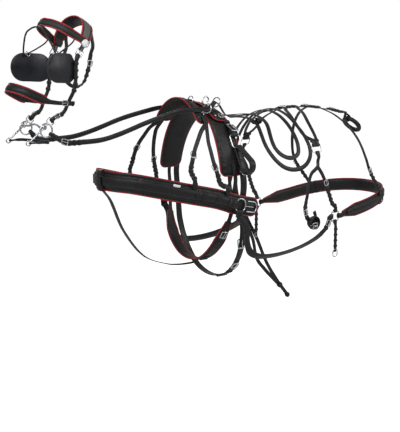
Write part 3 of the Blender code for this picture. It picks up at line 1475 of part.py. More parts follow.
lead, turn = eye(rein_bar, rein_way, OUT, STRAP_THICKNESS, BIT_CHEEK_BAR + REIN_SLACK)
for label, side, track, fall in (
    ("near", -1.0, NEAR_BACK_SHARES, NEAR_FALL_SHARES),
    ("far", 1.0, FAR_BACK_SHARES, FAR_FALL_SHARES),
):
    front = mirrored([turn[0]] + lead[::-1] + [(place(shares), OUT) for shares in REIN_FRONT_SHARES], side)
    route = front + [terret_centres[label + " neck"], terret_centres[label]]
    for x_share, degrees, over_share in track:
        route += on_body([(x_share, degrees)], REIN_LIFT + STRAP_THICKNESS * over_share)
    route += [(place(shares), -OUT) for shares in fall]
    path = mirrored(turn[::-1], side) + eased(route, REIN_COUNT)[1:]
    scales = [(REIN_FOLD_SHARE, 1.0)] * (len(turn) + 1) + [(1.0, 1.0)] * (len(path) - len(turn) - 1)
    strap(label + "_rein", path, REIN_WIDTH, STRAP_THICKNESS, scales=scales)
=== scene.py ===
"""A single-horse driving harness as worn, dressed in leather, red piping and chrome."""
import bisect
import math
import json

import bmesh
import bpy
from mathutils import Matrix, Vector, noise

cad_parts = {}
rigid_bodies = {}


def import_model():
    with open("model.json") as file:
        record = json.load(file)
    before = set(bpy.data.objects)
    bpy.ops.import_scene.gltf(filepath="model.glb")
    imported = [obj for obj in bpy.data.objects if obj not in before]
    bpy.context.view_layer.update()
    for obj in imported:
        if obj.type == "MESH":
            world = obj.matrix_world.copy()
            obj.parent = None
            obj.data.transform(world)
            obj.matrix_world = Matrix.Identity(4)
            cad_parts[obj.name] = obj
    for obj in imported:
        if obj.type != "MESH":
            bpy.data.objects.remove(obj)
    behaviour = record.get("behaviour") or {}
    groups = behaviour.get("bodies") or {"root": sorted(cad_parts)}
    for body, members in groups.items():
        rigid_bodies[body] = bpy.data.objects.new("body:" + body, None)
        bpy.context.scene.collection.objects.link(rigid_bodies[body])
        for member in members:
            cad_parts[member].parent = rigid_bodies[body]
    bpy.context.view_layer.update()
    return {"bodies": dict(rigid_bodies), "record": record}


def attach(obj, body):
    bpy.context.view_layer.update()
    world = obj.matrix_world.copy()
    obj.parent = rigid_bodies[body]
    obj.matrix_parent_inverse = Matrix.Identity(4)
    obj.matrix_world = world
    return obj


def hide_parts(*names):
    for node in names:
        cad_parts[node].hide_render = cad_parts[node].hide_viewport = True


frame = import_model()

BODIES = frame["record"]["behaviour"]["bodies"]
BODY_OF_NODE = {node: body for body, nodes in BODIES.items() for node in nodes}
SIDES = (("near", -1.0), ("far", 1.0))
OUT = Vector((0.0, -1.0, 0.0))
UP = Vector((0.0, 0.0, 1.0))
REARWARD = Vector((1.0, 0.0, 0.0))

# Camera, as far from the harness and as high as the photograph's
CAMERA_PLACE = (-3.16011, -3.76519, 0.30592)
CAMERA_YAW = 0.69246
CAMERA_PITCH = -0.17125
CAMERA_LENS = 79.22
SENSOR_WIDTH = 36.0
FAR_CLIP = 60.0


def placed(name, data):
    """A new object in the scene."""
    made = bpy.data.objects.new(name, data)
    bpy.context.scene.collection.objects.link(made)
    return made


camera = placed("camera", bpy.data.cameras.new("camera"))
camera.location = CAMERA_PLACE
camera.rotation_euler = (math.pi / 2 + CAMERA_PITCH, 0.0, -CAMERA_YAW)
camera.data.lens = CAMERA_LENS
camera.data.sensor_width = SENSOR_WIDTH
camera.data.clip_end = FAR_CLIP
bpy.context.scene.camera = camera
bpy.context.scene.view_settings.view_transform = "Standard"


# Nodes and materials
def feed(tree, target, inputs):
    """Each input of a node given a value, or wired to a socket."""
    for label, value in inputs.items():
        if isinstance(value, bpy.types.NodeSocket):
            tree.links.new(value, target.inputs[label])
        else:
            target.inputs[label].default_value = value
    return target


def new_node(tree, kind, inputs, **settings):
    made = tree.nodes.new(kind)
    for label, value in settings.items():
        setattr(made, label, value)
    return feed(tree, made, inputs)


class Finish:
    """A node material under construction."""

    def __init__(self, name, **values):
        self.made = bpy.data.materials.new(name)
        self.made.use_nodes = True
        self.tree = self.made.node_tree
        self.place = self.tree.nodes.new("ShaderNodeTexCoord").outputs["Object"]
        self.set(**values)

    def set(self, **values):
        named = {label.replace("_", " "): value for label, value in values.items()}
        feed(self.tree, self.tree.nodes["Principled BSDF"], named)

    def noise(self, scale, detail=3.0, roughness=0.55, place=None):
        inputs = {"Scale": scale, "Detail": detail, "Roughness": roughness}
        inputs["Vector"] = place or self.place
        return new_node(self.tree, "ShaderNodeTexNoise", inputs).outputs["Fac"]

    def spread(self, value, low, high, to_low, to_high):
        inputs = {"Value": value, "From Min": low, "From Max": high}
        inputs.update({"To Min": to_low, "To Max": to_high})
        return new_node(self.tree, "ShaderNodeMapRange", inputs).outputs["Result"]

    def shade(self, value, dark, light, low=0.3, high=0.7):
        """A colour from a dark one at the low value to a light one at the high value."""
        made = new_node(self.tree, "ShaderNodeValToRGB", {"Fac": value})
        for stop, at, colour in zip(made.color_ramp.elements, (low, high), (dark, light)):
            stop.position, stop.color = at, (*colour, 1.0)
        return made.outputs["Color"]

    def bumps(self, *layers):
        """(height, strength, distance) layers, one over another."""
        under = {}
        for height, strength, distance in layers:
            inputs = {"Height": height, "Strength": strength, "Distance": distance, **under}
            bump = new_node(self.tree, "ShaderNodeBump", inputs)
            under = {"Normal": bump.outputs["Normal"]}
        self.set(**under)


def leather_finish(name, dark, light, worn, dull, grain, depth, gloss):
    """Dyed leather: pored grain, cloudy dye, and edges rubbed lighter."""
    finish = Finish(name, Specular_IOR_Level=gloss)
    dye = finish.shade(finish.noise(scale=9.0, detail=4.0), dark, light, low=0.30, high=0.72)
    rubbed = new_node(finish.tree, "ShaderNodeAttribute", {}, attribute_name="edge")
    patches = finish.spread(finish.noise(scale=55.0), 0.35, 0.75, 0.25, 1.0)
    share = new_node(finish.tree, "ShaderNodeMath", {0: rubbed.outputs["Fac"], 1: patches},
                     operation="MULTIPLY").outputs["Value"]
    colour = new_node(finish.tree, "ShaderNodeMix",
                      {"Factor": share, "A": dye, "B": (*worn, 1.0)}, data_type="RGBA")
    cloud = finish.noise(scale=24.0, detail=5.0)
    finish.set(Base_Color=colour.outputs[2],
               Roughness=finish.spread(cloud, 0.3, 0.7, dull - 0.06, dull + 0.08))
    pores = new_node(finish.tree, "ShaderNodeTexVoronoi",
                     {"Scale": grain, "Vector": finish.place}, feature="F1")
    creases = finish.noise(scale=grain * 0.22, detail=6.0, roughness=0.62)
    finish.bumps((creases, 0.35, depth * 2.2), (pores.outputs["Distance"], 0.45, depth))
    return finish.made


def plain_finish(name, scale, dark, light, detail=3.0, low=0.3, high=0.7, **values):
    """A finish whose colour drifts between two shades."""
    finish = Finish(name, **values)
    finish.set(Base_Color=finish.shade(finish.noise(scale, detail), dark, light, low, high))
    return finish


# Dark and light dye, rubbed edge, roughness, grain's scale and depth, gloss
LEATHERS = {
    "black_strap_leather": ((0.0046, 0.0046, 0.0053), (0.0105, 0.0105, 0.0120),
                            (0.045, 0.045, 0.049), 0.38, 1150.0, 0.00016, 0.31),
    "black_pad_leather": ((0.0062, 0.0060, 0.0068), (0.0125, 0.0122, 0.0136),
                          (0.040, 0.040, 0.043), 0.43, 820.0, 0.00026, 0.28),
    "facing_leather": ((0.020, 0.0195, 0.0195), (0.034, 0.033, 0.033),
                       (0.065, 0.065, 0.065), 0.55, 700.0, 0.00024, 0.20),
    "crown_facing_leather": ((0.070, 0.069, 0.067), (0.120, 0.118, 0.115),
                             (0.16, 0.16, 0.155), 0.58, 640.0, 0.00030, 0.20),
    "red_piping": ((0.290, 0.0120, 0.0170), (0.380, 0.0210, 0.0280),
                   (0.42, 0.040, 0.046), 0.42, 900.0, 0.00014, 0.25),
    "blinker_leather": ((0.0048, 0.0052, 0.0080), (0.0095, 0.0102, 0.0145),
                        (0.045, 0.045, 0.048), 0.36, 1150.0, 0.00010, 0.40),
}
STRAP, PADDING, FACING, CROWN_FACING, PIPING, BLINKER = (
    leather_finish(name, *look) for name, look in LEATHERS.items())

# Polished plate: fine rubbing marks and a slightly cloudy bloom
finish = plain_finish("polished_chrome", 60.0, (0.42, 0.43, 0.45), (0.62, 0.63, 0.65), 4.0,
                      0.25, 0.75, Metallic=1.0, Specular_IOR_Level=0.5)
finish.set(Roughness=finish.spread(finish.noise(scale=140.0, detail=5.0), 0.3, 0.7, 0.07, 0.19))
drawn_out = new_node(finish.tree, "ShaderNodeMapping",
                     {"Vector": finish.place, "Scale": (1.0, 1.0, 6.0)}).outputs["Vector"]
finish.bumps((finish.noise(420.0, 3.0, 0.6, drawn_out), 0.10, 0.00008))
CHROME = finish.made

# Painted shade for the inside of a punched hole: a near-black colour on a thin disc laid over the
# strap, with no real hole cut
HOLE_SHADE = plain_finish("punched_hole", 900.0, (0.0016, 0.0016, 0.0016), (0.0040, 0.0038, 0.0036),
                    Roughness=0.85, Specular_IOR_Level=0.1).made

finish = plain_finish("thread", 700.0, (0.020, 0.020, 0.021), (0.055, 0.055, 0.057),
                      Roughness=0.62, Specular_IOR_Level=0.35)
finish.bumps((finish.noise(scale=2600.0, detail=2.0), 0.3, 0.00008))
THREAD = finish.made

# The plain pale enamel of the browband's discs
finish = plain_finish("pale_enamel", 35.0, (0.74, 0.74, 0.76), (0.86, 0.86, 0.87))
finish.set(Roughness=finish.spread(finish.noise(scale=90.0), 0.3, 0.7, 0.16, 0.30))
ENAMEL = finish.made

# Meshes swept along a route
STEP = 0.006
TINY = 0.00001
EDGE_INSET = 0.0032
PIPING_RADIUS = 0.0031
SEAM_INSET = 0.0042
STITCH_SPACING = 0.0052
FULL = (1.0, 1.0)


def hermite(a, b, slope_a, slope_b, t):
    t2 = t * t
    t3 = t2 * t
    return ((2 * t3 - 3 * t2 + 1) * a + (t3 - 2 * t2 + t) * slope_a
            + (3 * t2 - 2 * t3) * b + (t3 - t2) * slope_b)


def on_curve(path, k, t, closed, least):
    """Point and face a share t past point k, on one smooth curve through the path."""
    n = len(path)

    def at(i):
        return path[i % n] if closed else path[min(max(i, 0), n - 1)]

    before, a, b, beyond = at(k - 1), at(k), at(k + 1), at(k + 2)
    into, gap, onward = (max((two[0] - one[0]).length, least)
                         for one, two in ((before, a), (a, b), (b, beyond)))
    values = []
    for part in (0, 1):
        slope_a = (b[part] - before[part]) * (gap / (gap + into))
        slope_b = (beyond[part] - a[part]) * (gap / (gap + onward))
        if not closed and k == 0:
            slope_a = b[part] - a[part]
        if not closed and k == n - 2:
            slope_b = b[part] - a[part]
        values.append(hermite(a[part], b[part], slope_a, slope_b, t))
    return values[0], values[1].normalized()


def refined(path, scales=None, closed=False, step=STEP):
    """The route and its scales at fine, even steps."""
    n = len(path)
    scales = scales or [FULL] * n
    fine, sizes = [], []
    for k in range(n if closed else n - 1):
        after = (k + 1) % n
        gap = (path[after][0] - path[k][0]).length
        if gap < TINY:
            continue
        count = max(2, round(gap / step))
        for j in range(count):
            t = j / count
            fine.append(on_curve(path, k, t, closed, TINY))
            sizes.append(tuple(p + (q - p) * t for p, q in zip(scales[k], scales[after])))
    if not closed:
        fine.append(path[-1])
        sizes.append(scales[-1])
    return fine, sizes


def eased(path, count, closed=False):
    """The path's points and faces, read at even steps from one smooth curve."""
    ends = path[1:] + path[:1] if closed else path[1:]
    lengths = [0.0]
    for one, two in zip(path, ends):
        lengths.append(lengths[-1] + (two[0] - one[0]).length)
    made = []
    for j in range(count):
        reach = lengths[-1] * j / (count if closed else count - 1)
        k = 0
        while k < len(ends) - 1 and lengths[k + 1] < reach:
            k += 1
        t = (reach - lengths[k]) / (lengths[k + 1] - lengths[k])
        made.append(on_curve(path, k, t, closed, GAP))
    return made


def frames(path, closed=False):
    """Point, across, up and along for each point of a route."""
    n = len(path)
    made = []
    for k, (point, face) in enumerate(path):
        before, after = (k - 1, (k + 1) % n) if closed else (max(k - 1, 0), min(k + 1, n - 1))
        along = (path[after][0] - path[before][0]).normalized()
        across = face.cross(along).normalized()
        made.append((point, across, along.cross(across), along))
    return made


def around(count, first, second):
    """Directions at even steps round a circle, from the first towards the second."""
    turns = [2 * math.pi * k / count for k in range(count)]
    return [first * math.cos(turn) + second * math.sin(turn) for turn in turns]


class Route:
    """A strap's middle line with its width and thickness, read at any distance from its start."""

    def __init__(self, path, width, thick, scales=None, closed=False):
        fine, sizes = refined(path, scales, closed)
        self.rows = frames(fine, closed)
        self.sizes = [(width * wide, thick * deep) for wide, deep in sizes]
        self.closed = closed
        self.track = self.rows + self.rows[:1] if closed else self.rows
        self.widths = self.sizes + self.sizes[:1] if closed else self.sizes
        self.gone = [0.0]
        for one, two in zip(self.track, self.track[1:]):
            self.gone.append(self.gone[-1] + (two[0] - one[0]).length)
        self.length = self.gone[-1]

    def sections(self):
        """Point, across, up, width and thickness of each row."""
        return [(*row[:3], *size) for row, size in zip(self.rows, self.sizes)]

    def at(self, reach):
        """Point, across, up, along, width and thickness there."""
        reach = reach % self.length if self.closed else min(max(reach, 0.0), self.length)
        k = min(max(bisect.bisect_right(self.gone, reach) - 1, 0), len(self.track) - 2)
        t = (reach - self.gone[k]) / max(self.gone[k + 1] - self.gone[k], TINY)
        point, _, up, along = (a.lerp(b, t) for a, b in zip(self.track[k], self.track[k + 1]))
        up, along = up.normalized(), along.normalized()
        wide, thick = (a + (b - a) * t for a, b in zip(self.widths[k], self.widths[k + 1]))
        return point, up.cross(along).normalized(), up, along, wide, thick

    def reaches(self, start, stop, step=STEP):
        count = max(2, round((stop - start) / step))
        return [start + (stop - start) * k / count for k in range(count + 1)]


SHARP_DEGREES = 50


def skinned(rings, wear, finish, closed=False, sharp=SHARP_DEGREES, facing=None, faced=()):
    """A closed tube of skin through rings of points; wear holds each point's rubbed edge."""
    shape = bmesh.new()
    edge = shape.verts.layers.float.new("edge")
    made = []
    for ring in rings:
        made.append([shape.verts.new(point) for point in ring])
        for vert, rubbed in zip(made[-1], wear):
            vert[edge] = rubbed
    m, n = len(wear), len(rings)
    for k in range(n if closed else n - 1):
        here, there = made[k], made[(k + 1) % n]
        for i in range(m):
            j = (i + 1) % m
            face = shape.faces.new((here[i], here[j], there[j], there[i]))
            face.smooth = True
            face.material_index = 1 if i in faced else 0
    if not closed:
        for row in (made[0][::-1], made[-1]):
            shape.faces.new(row).smooth = True
    bmesh.ops.recalc_face_normals(shape, faces=shape.faces)
    if shape.calc_volume(signed=True) < 0:
        bmesh.ops.reverse_faces(shape, faces=shape.faces)
    mesh = bpy.data.meshes.new("skin")
    shape.to_mesh(mesh)
    shape.free()
    mesh.set_sharp_from_angle(angle=math.radians(sharp))
    mesh.materials.append(finish)
    if faced:
        mesh.materials.append(facing)
    return mesh


def crumpled(mesh, depth, size):
    """The mesh's skin moved in and out a little, as leather that has been bent and pressed."""
    for vert, normal in zip(mesh.vertices, [Vector(n.vector) for n in mesh.vertex_normals]):
        vert.co += normal * (noise.noise(vert.co / size) * depth)
    return mesh


def strap_outline(width, thick):
    """(across, up, rubbed) round a strap: rounded edges and a creased line inside each."""
    half, lift = width / 2, thick / 2
    turn = min(thick * 0.42, 0.0016, width * 0.2)
    crease = min(EDGE_INSET, width * 0.17)
    groove = min(0.0007, width * 0.04)
    side = [
        (half - turn, -lift, 0.2), (half - turn * 0.3, -lift + turn * 0.3, 0.7),
        (half, -lift + turn, 1.0), (half, lift - turn, 1.0),
        (half - turn * 0.3, lift - turn * 0.3, 1.0), (half - turn, lift, 0.5),
        (half - crease + groove, lift, 0.1), (half - crease, lift - 0.00045, 0.0),
        (half - crease - groove, lift, 0.05),
    ]
    mirror = [(-a, b, c) for a, b, c in side[::-1]]
    return [(0.0, -lift, 0.0)] + side + [(0.0, lift * 1.04, 0.0)] + mirror


# A padded band's skin: columns across each half of its face
ACROSS = 6
PAD_COLUMNS = 24 + 2 * ACROSS
PAD_TOP = PAD_COLUMNS // 2
PAD_FACE = tuple(range(8, PAD_COLUMNS - 8))
PAD_FREE = range(9, PAD_COLUMNS - 8)


def pad_outline(width, thick):
    """Round a padded band: a flat sewn margin at each edge and a filled, crowned middle."""
    half, lift = width / 2, thick / 2
    margin = min(0.0080, width * 0.17)
    rise = min(thick * 0.55, width * 0.16)
    side = [
        (half * 0.55, -lift * 0.96, 0.0), (half - margin, -lift * 0.80, 0.0),
        (half - margin * 0.3, -lift * 0.45, 0.2), (half, -lift * 0.12, 0.5),
        (half, lift * 0.10, 0.5), (half - margin * 0.35, lift * 0.26, 0.3),
        (half - margin * 0.80, lift * 0.26, 0.0), (half - margin, lift * 0.20, 0.0),
    ]
    for over, up in ((0.12, 0.42), (0.40, 0.74), (0.75, 0.90), (1.2, 0.97)):
        side.append((half - margin - rise * over, lift * up, 0.0))
    reach = side[-1][0]
    for k in range(1, ACROSS):
        side.append((reach * (1 - k / ACROSS), lift * (0.97 + 0.03 * k / ACROSS), 0.0))
    mirror = [(-a, b, c) for a, b, c in side[::-1]]
    return [(0.0, -lift, 0.0)] + side + [(0.0, lift, 0.0)] + mirror


# The cloth that fills a pad out
HELD_ROWS = 3
CLOTH_FRAMES = 20
CLOTH_SPARE = 0.05
CLOTH = {
    "quality": 6, "mass": 0.35, "tension_stiffness": 18.0, "compression_stiffness": 18.0,
    "shear_stiffness": 8.0, "bending_stiffness": 0.8, "air_damping": 2.0,
    "vertex_group_mass": "held", "shrink_min": -CLOTH_SPARE, "shrink_max": -CLOTH_SPARE,
    "use_pressure": True, "uniform_pressure_force": 4.0,
}


def filled_out(mesh, lane, cap, closed):
    """The pad's skin blown out by its filling: held at its seams and under the strap on it."""
    count = len(mesh.vertices) // PAD_COLUMNS
    fixed = []
    for index, vert in enumerate(mesh.vertices):
        ring, column = divmod(index, PAD_COLUMNS)
        under_strap = (vert.co - mesh.vertices[ring * PAD_COLUMNS + PAD_TOP].co).length < lane
        at_end = not closed and not HELD_ROWS <= ring < count - HELD_ROWS
        if column not in PAD_FREE or under_strap or at_end:
            fixed.append(index)
    thing = placed("filling", mesh.copy())
    thing.vertex_groups.new(name="held").add(fixed, 1.0, "REPLACE")
    cloth = thing.modifiers.new("filling", "CLOTH")
    cloth.point_cache.frame_start, cloth.point_cache.frame_end = 1, CLOTH_FRAMES
    cloth.collision_settings.use_collision = False
    cloth.collision_settings.use_self_collision = False
    for label, value in CLOTH.items():
        setattr(cloth.settings, label, value)
    cloth.settings.effector_weights.gravity = 0.0
    for moment in range(1, CLOTH_FRAMES + 1):
        bpy.context.scene.frame_set(moment)
    seen = thing.evaluated_get(bpy.context.evaluated_depsgraph_get())
    moved = [vert.co.copy() for vert in seen.to_mesh().vertices]
    seen.to_mesh_clear()
    spare = thing.data
    bpy.data.objects.remove(thing)
    bpy.data.meshes.remove(spare)
    bpy.context.scene.frame_set(1)
    for vert, spot in zip(mesh.vertices, moved):
        move = spot - vert.co
        vert.co += move * min(1.0, cap / max(move.length, TINY))


RING_SIDES = 14


def round_ring(width, thick):
    """A round bar of that width."""
    turns = around(RING_SIDES, Vector((width / 2, 0.0)), Vector((0.0, thick / 2)))
    return [(across, up, 0.0) for across, up in turns]


def carried(rows, outline, finish, closed=False, facing=None, faced=()):
    """The outline carried along rows of point, across, up, width and thickness."""
    rings = []
    for point, across, up, wide, thick in rows:
        ring = outline(wide, thick)
        rings.append([point + across * a + up * b for a, b, _ in ring])
    wear = [c for _, _, c in ring]
    return skinned(rings, wear, finish, closed, facing=facing, faced=faced)


def swept(path, width, thick, closed=False, outline=strap_outline, finish=STRAP):
    """The outline carried along a refined route."""
    sections = Route(path, width, thick, None, closed).sections()
    return carried(sections, outline, finish, closed)


POINT_SHARE = 0.75
TIP_SHARES = (0, 0.06, 0.14, 0.25, 0.4, 0.6)


def pointed(run, width):
    """A billet tip's width share: small at its very end, 1 where the strap is full."""
    if run >= width * POINT_SHARE:
        return 1.0
    return max(0.10, math.sin(math.pi / 2 * (run / (width * POINT_SHARE)) ** 0.62))


def layer(route, start, stop, width, thick, lift, tips=(False, False), shift=0.0, finish=STRAP):
    """A second strap on a route from one distance to another, pointed or square at its ends."""
    reaches = route.reaches(start, stop)
    full = width * POINT_SHARE
    if tips[0]:
        rest = [reach for reach in reaches if reach > start + full]
        reaches = [start + run * width for run in TIP_SHARES] + rest
    if tips[1]:
        rest = [reach for reach in reaches if reach < stop - full]
        reaches = rest + [stop - run * width for run in TIP_SHARES[::-1]]
    rows = []
    for reach in reaches:
        point, across, up, *_ = route.at(reach)
        share = min(pointed(reach - start, width) if tips[0] else 1.0,
                    pointed(stop - reach, width) if tips[1] else 1.0)
        rows.append((point + up * lift + across * shift, across, up, width * share, thick))
    return carried(rows, strap_outline, finish)


SLOT_OF_FINISH = {"black_pad_leather": "padded_leather", "facing_leather": "padded_leather",
                  "polished_chrome": "chrome"}


def piece(name, meshes, body="harness", nodes=()):
    """One object from meshes, riding on a body and standing for its CAD nodes."""
    shape = bmesh.new()
    finishes = []
    for mesh in meshes:
        start = len(shape.faces)
        shape.from_mesh(mesh)
        names = [finish.name for finish in mesh.materials]
        finishes += [finish for finish in names if finish not in finishes]
        shape.faces.ensure_lookup_table()
        for face in shape.faces[start:]:
            face.material_index = finishes.index(names[min(face.material_index, len(names) - 1)])
    whole = bpy.data.meshes.new(name)
    shape.to_mesh(whole)
    shape.free()
    for finish in finishes:
        whole.materials.append(bpy.data.materials[finish])
    return held(name, whole, body, nodes)


def held(name, mesh, body, nodes=()):
    """The object of a finished mesh, on its body, with the CAD nodes it stands for hidden."""
    made = placed(name, mesh)
    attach(made, body)
    SLOT_OF_FINISH.get(mesh.materials[0].name, "strap_leather")
    if nodes:
        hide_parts(*nodes)
    return made


def stand_in(node, kind, meshes):
    """The piece that takes the place of one CAD node."""
    return piece(f"{node}_{kind}", meshes, BODY_OF_NODE[node], (node,))


# Sizes: the CAD's own
# The body that the harness is cut for
BODY_LENGTH = 2.00
BODY_DEPTH = 0.80
BARREL_WIDTH = 0.60
HEAD_LENGTH = 0.60
HEAD_WIDTH = 0.22
HEAD_DEPTH = 0.30

# Leather: widths and thicknesses
STRAP_THICKNESS = 0.0040
HEAVY_THICKNESS = 0.0055
BRIDLE_WIDTH = 0.018
CROWN_WIDTH = 0.046
CROWN_THICKNESS = 0.009
BROWBAND_WIDTH = 0.032
BROWBAND_THICKNESS = 0.010
NOSEBAND_WIDTH = 0.036
NOSEBAND_THICKNESS = 0.011
REIN_WIDTH = 0.024
COLLAR_HEIGHT = 0.090
COLLAR_THICKNESS = 0.024
COLLAR_STRAP_WIDTH = 0.044
TRACE_WIDTH = 0.036
NECK_PAD_WIDTH = 0.090
NECK_PAD_THICKNESS = 0.018
UPTUG_WIDTH = 0.024
SADDLE_PAD_WIDTH = 0.140
SADDLE_PAD_THICKNESS = 0.017
SEAT_WIDTH = 0.110
SEAT_THICKNESS = 0.016
BACKBAND_WIDTH = 0.040
TUG_WIDTH = 0.038
TUG_THICKNESS = 0.008
TUG_SPAN = 0.072
GIRTH_WIDTH = 0.070
GIRTH_THICKNESS = 0.014
BELLY_BAND_WIDTH = 0.038
BACKSTRAP_WIDTH = 0.036
LOIN_WIDTH = 0.022
CROUP_WIDTH = 0.020
CRUPPER_RADIUS = 0.013
BREECHING_HEIGHT = 0.066
BREECHING_THICKNESS = 0.020
HOLDBACK_LENGTH = 0.150
HOLDBACK_WIDTH = 0.020
MARTINGALE_WIDTH = 0.030
STAY_RADIUS = 0.004
BLINKER_HEIGHT = 0.130
BLINKER_THICKNESS = 0.007
CURB_WIDTH = 0.014
BRANCH_THICKNESS = STRAP_THICKNESS * 0.8

# Metal
BAR_RADIUS = 0.0025
HEAVY_BAR_RADIUS = 0.0034
UPTUG_BAR = 0.0022
SIDE_CLEARANCE = 0.0025
BUCKLE_LENGTH = 0.028
HEAVY_BUCKLE_LENGTH = 0.044
LINK_CORNER = 0.008
HEAD_CORNER = 0.005
TERRET_RADIUS = 0.024
TERRET_BAR = 0.0032
TERRET_STEM = 0.012
BIT_BAR = 0.0045
BIT_CHEEK_BAR = 0.0040
BIT_RING_RADIUS = 0.030

# Fits
GAP = 0.0003
LAYER_GAP = 0.0008
EYE_GAP = 0.0005
LEAD = 0.022
FOLD_RUN = 0.030

# The body's outline: x, top of the back, belly, half width
BODY_SHARES = (
    (-0.300, 0.375, -0.625, 0.175), (-0.250, 0.306, -0.712, 0.267), (-0.177, 0.199, -0.831, 0.353),
    (-0.115, 0.116, -0.900, 0.387), (-0.067, 0.056, -0.931, 0.405), (-0.018, 0.015, -0.946, 0.417),
    (0.000, 0.000, -0.946, 0.425), (0.066, -0.031, -0.938, 0.447), (0.156, -0.035, -0.894, 0.480),
    (0.230, -0.012, -0.844, 0.497), (0.346, 0.000, -0.775, 0.497), (0.427, -0.018, -0.750, 0.487),
    (0.512, -0.056, -0.762, 0.463), (0.563, -0.110, -0.788, 0.425), (0.609, -0.188, -0.825, 0.342),
    (0.640, -0.300, -0.875, 0.200),
)
WIDEST_SHARE = 0.46
PROBE_SHARE = 0.0005
PROBE_DEGREES = 0.2

# The head's frame: where the browband crosses the forehead, and the slope of the face
BROW_SHARES = (-0.4725, 0.0, 0.544)
FACE_DOWN = Vector((-0.52, 0.0, -0.854)).normalized()
FACE_BACK = Vector((0.854, 0.0, -0.52)).normalized()
POLL = -FACE_DOWN


# Routes: the CAD's own
def body_row(x_share):
    """The outline's top, belly and half width at a place along the body, as shares."""
    rows = BODY_SHARES
    at = min(max(x_share, rows[0][0]), rows[-1][0])
    i = 0
    while i < len(rows) - 2 and rows[i + 1][0] < at:
        i += 1

    def slope(k, column):
        before, after = rows[max(k - 1, 0)], rows[min(k + 1, len(rows) - 1)]
        return (after[column] - before[column]) / (after[0] - before[0])

    one, two = rows[i], rows[i + 1]
    step = two[0] - one[0]
    t = (at - one[0]) / step
    return [hermite(one[c], two[c], slope(i, c) * step, slope(i + 1, c) * step, t)
            for c in (1, 2, 3)]


def body_point(x_share, degrees):
    """A point of the body's skin. 0 degrees is the back, 90 the near flank, -90 the far one."""
    top, belly, half = body_row(x_share)
    middle = belly + WIDEST_SHARE * (top - belly)
    angle = math.radians(degrees)
    reach = top - middle if math.cos(angle) > 0 else middle - belly
    return Vector((x_share * BODY_LENGTH, -half * BARREL_WIDTH * math.sin(angle),
                   (middle + reach * math.cos(angle)) * BODY_DEPTH))


def body_normal(x_share, degrees):
    front, rear = (body_point(x_share + step, degrees) for step in (-PROBE_SHARE, PROBE_SHARE))
    over, under = (body_point(x_share, degrees + step) for step in (-PROBE_DEGREES, PROBE_DEGREES))
    return (under - over).cross(rear - front).normalized()


def place(shares):
    """Shares of the body's length, width and depth, as a place."""
    return Vector((shares[0] * BODY_LENGTH, shares[1] * BARREL_WIDTH, shares[2] * BODY_DEPTH))


def head(down, side, back):
    """A place on the head: shares down the face, to the far side, and back from the face."""
    across = Vector((0.0, side * HEAD_WIDTH, 0.0))
    return (place(BROW_SHARES) + FACE_DOWN * (down * HEAD_LENGTH) + across
            + FACE_BACK * (back * HEAD_DEPTH))


def flip(vector, side=1.0):
    """The near side's vector, carried to the side asked for."""
    return Vector((vector.x, vector.y * -side, vector.z))


def mirrored(path, side=1.0):
    return [(flip(point, side), flip(face, side)) for point, face in path]


def full_round(half):
    """A near half that ends at the middle line, continued to the far side."""
    return half + mirrored(half[:-1])[::-1]


def on_body(track, lift):
    """Points on the skin, raised by a lift: (place along the body, degrees) each."""
    path = []
    for x_share, degrees in track:
        normal = body_normal(x_share, degrees)
        path.append((body_point(x_share, degrees) + normal * lift, normal))
    return path


def beside_body(rows):
    """Places off the skin, each facing outwards."""
    return [(place(shares), OUT) for shares in rows]


def over_poll(rows):
    """(down, side, back, lean) on the head; the lean turns the face from the side to the poll."""
    path = []
    for down, side, back, degrees in rows:
        lean = math.radians(degrees)
        path.append((head(down, side, back), OUT * math.cos(lean) + POLL * math.sin(lean)))
    return path


def round_head(rows):
    """The same round the face: 0 degrees faces forward, 90 to the near side, 180 to the rear."""
    path = []
    for down, side, back, degrees in rows:
        lean = math.radians(degrees)
        path.append((head(down, side, back), OUT * math.sin(lean) - FACE_BACK * math.cos(lean)))
    return path


def eye(bar, way, face, thickness, bar_radius, run=1.0):
    """A strap's end turned round a bar: the lead up to it, then the turn and the return."""
    radius = bar_radius + EYE_GAP + thickness / 2
    under = radius - thickness - EYE_GAP
    back = run * FOLD_RUN
    lead = [(bar - way * LEAD + face * radius, face)]
    turn = []
    for k in range(5):
        angle = math.pi * k / 4
        radial = face * math.cos(angle) + way * math.sin(angle)
        turn.append((bar + radial * radius, radial))
    turn.append((bar - way * radius - face * (radius * 0.94), -face))
    turn.append((bar - way * (radius + (back - radius) * 0.62) + face * under, -face))
    turn.append((bar - way * back + face * under, -face))
    return lead, turn


def arch(x_share, half_degrees, lift):
    """A band straight over the back, from the near side to the far."""
    count = round(2 * half_degrees / ARCH_STEP_DEGREES) + 1
    turns = [half_degrees - ARCH_STEP_DEGREES * k for k in range(count)]
    return on_body([(x_share, turn) for turn in turns], lift)


def beside(path, shift, lift):
    """The path of a layer that lies parallel to a swept piece: moved across it and raised."""
    return [(point + across * shift + up * lift, up) for point, across, up, _ in frames(path)]


def middle_of(path, half_degrees):
    """The samples of an arch that lie within some degrees of the top."""
    keep = round(half_degrees / ARCH_STEP_DEGREES)
    centre = len(path) // 2
    return path[centre - keep : centre + keep + 1]


def level_path(shares, sign, count):
    """A band that stands on edge round the body, from its near end to its far one."""
    def levelled(points):
        path = []
        for k, point in enumerate(points):
            along = points[min(k + 1, len(points) - 1)] - points[max(k - 1, 0)]
            along.z = 0
            path.append((point, UP.cross(along).normalized() * sign))
        return path

    half = [place(row) for row in shares]
    rough = levelled(half + [flip(point) for point in half[:-1]][::-1])
    return levelled([point for point, _ in eased(rough, count)])


def path_length(path):
    return sum((b - a).length for (a, _), (b, _) in zip(path, path[1:]))


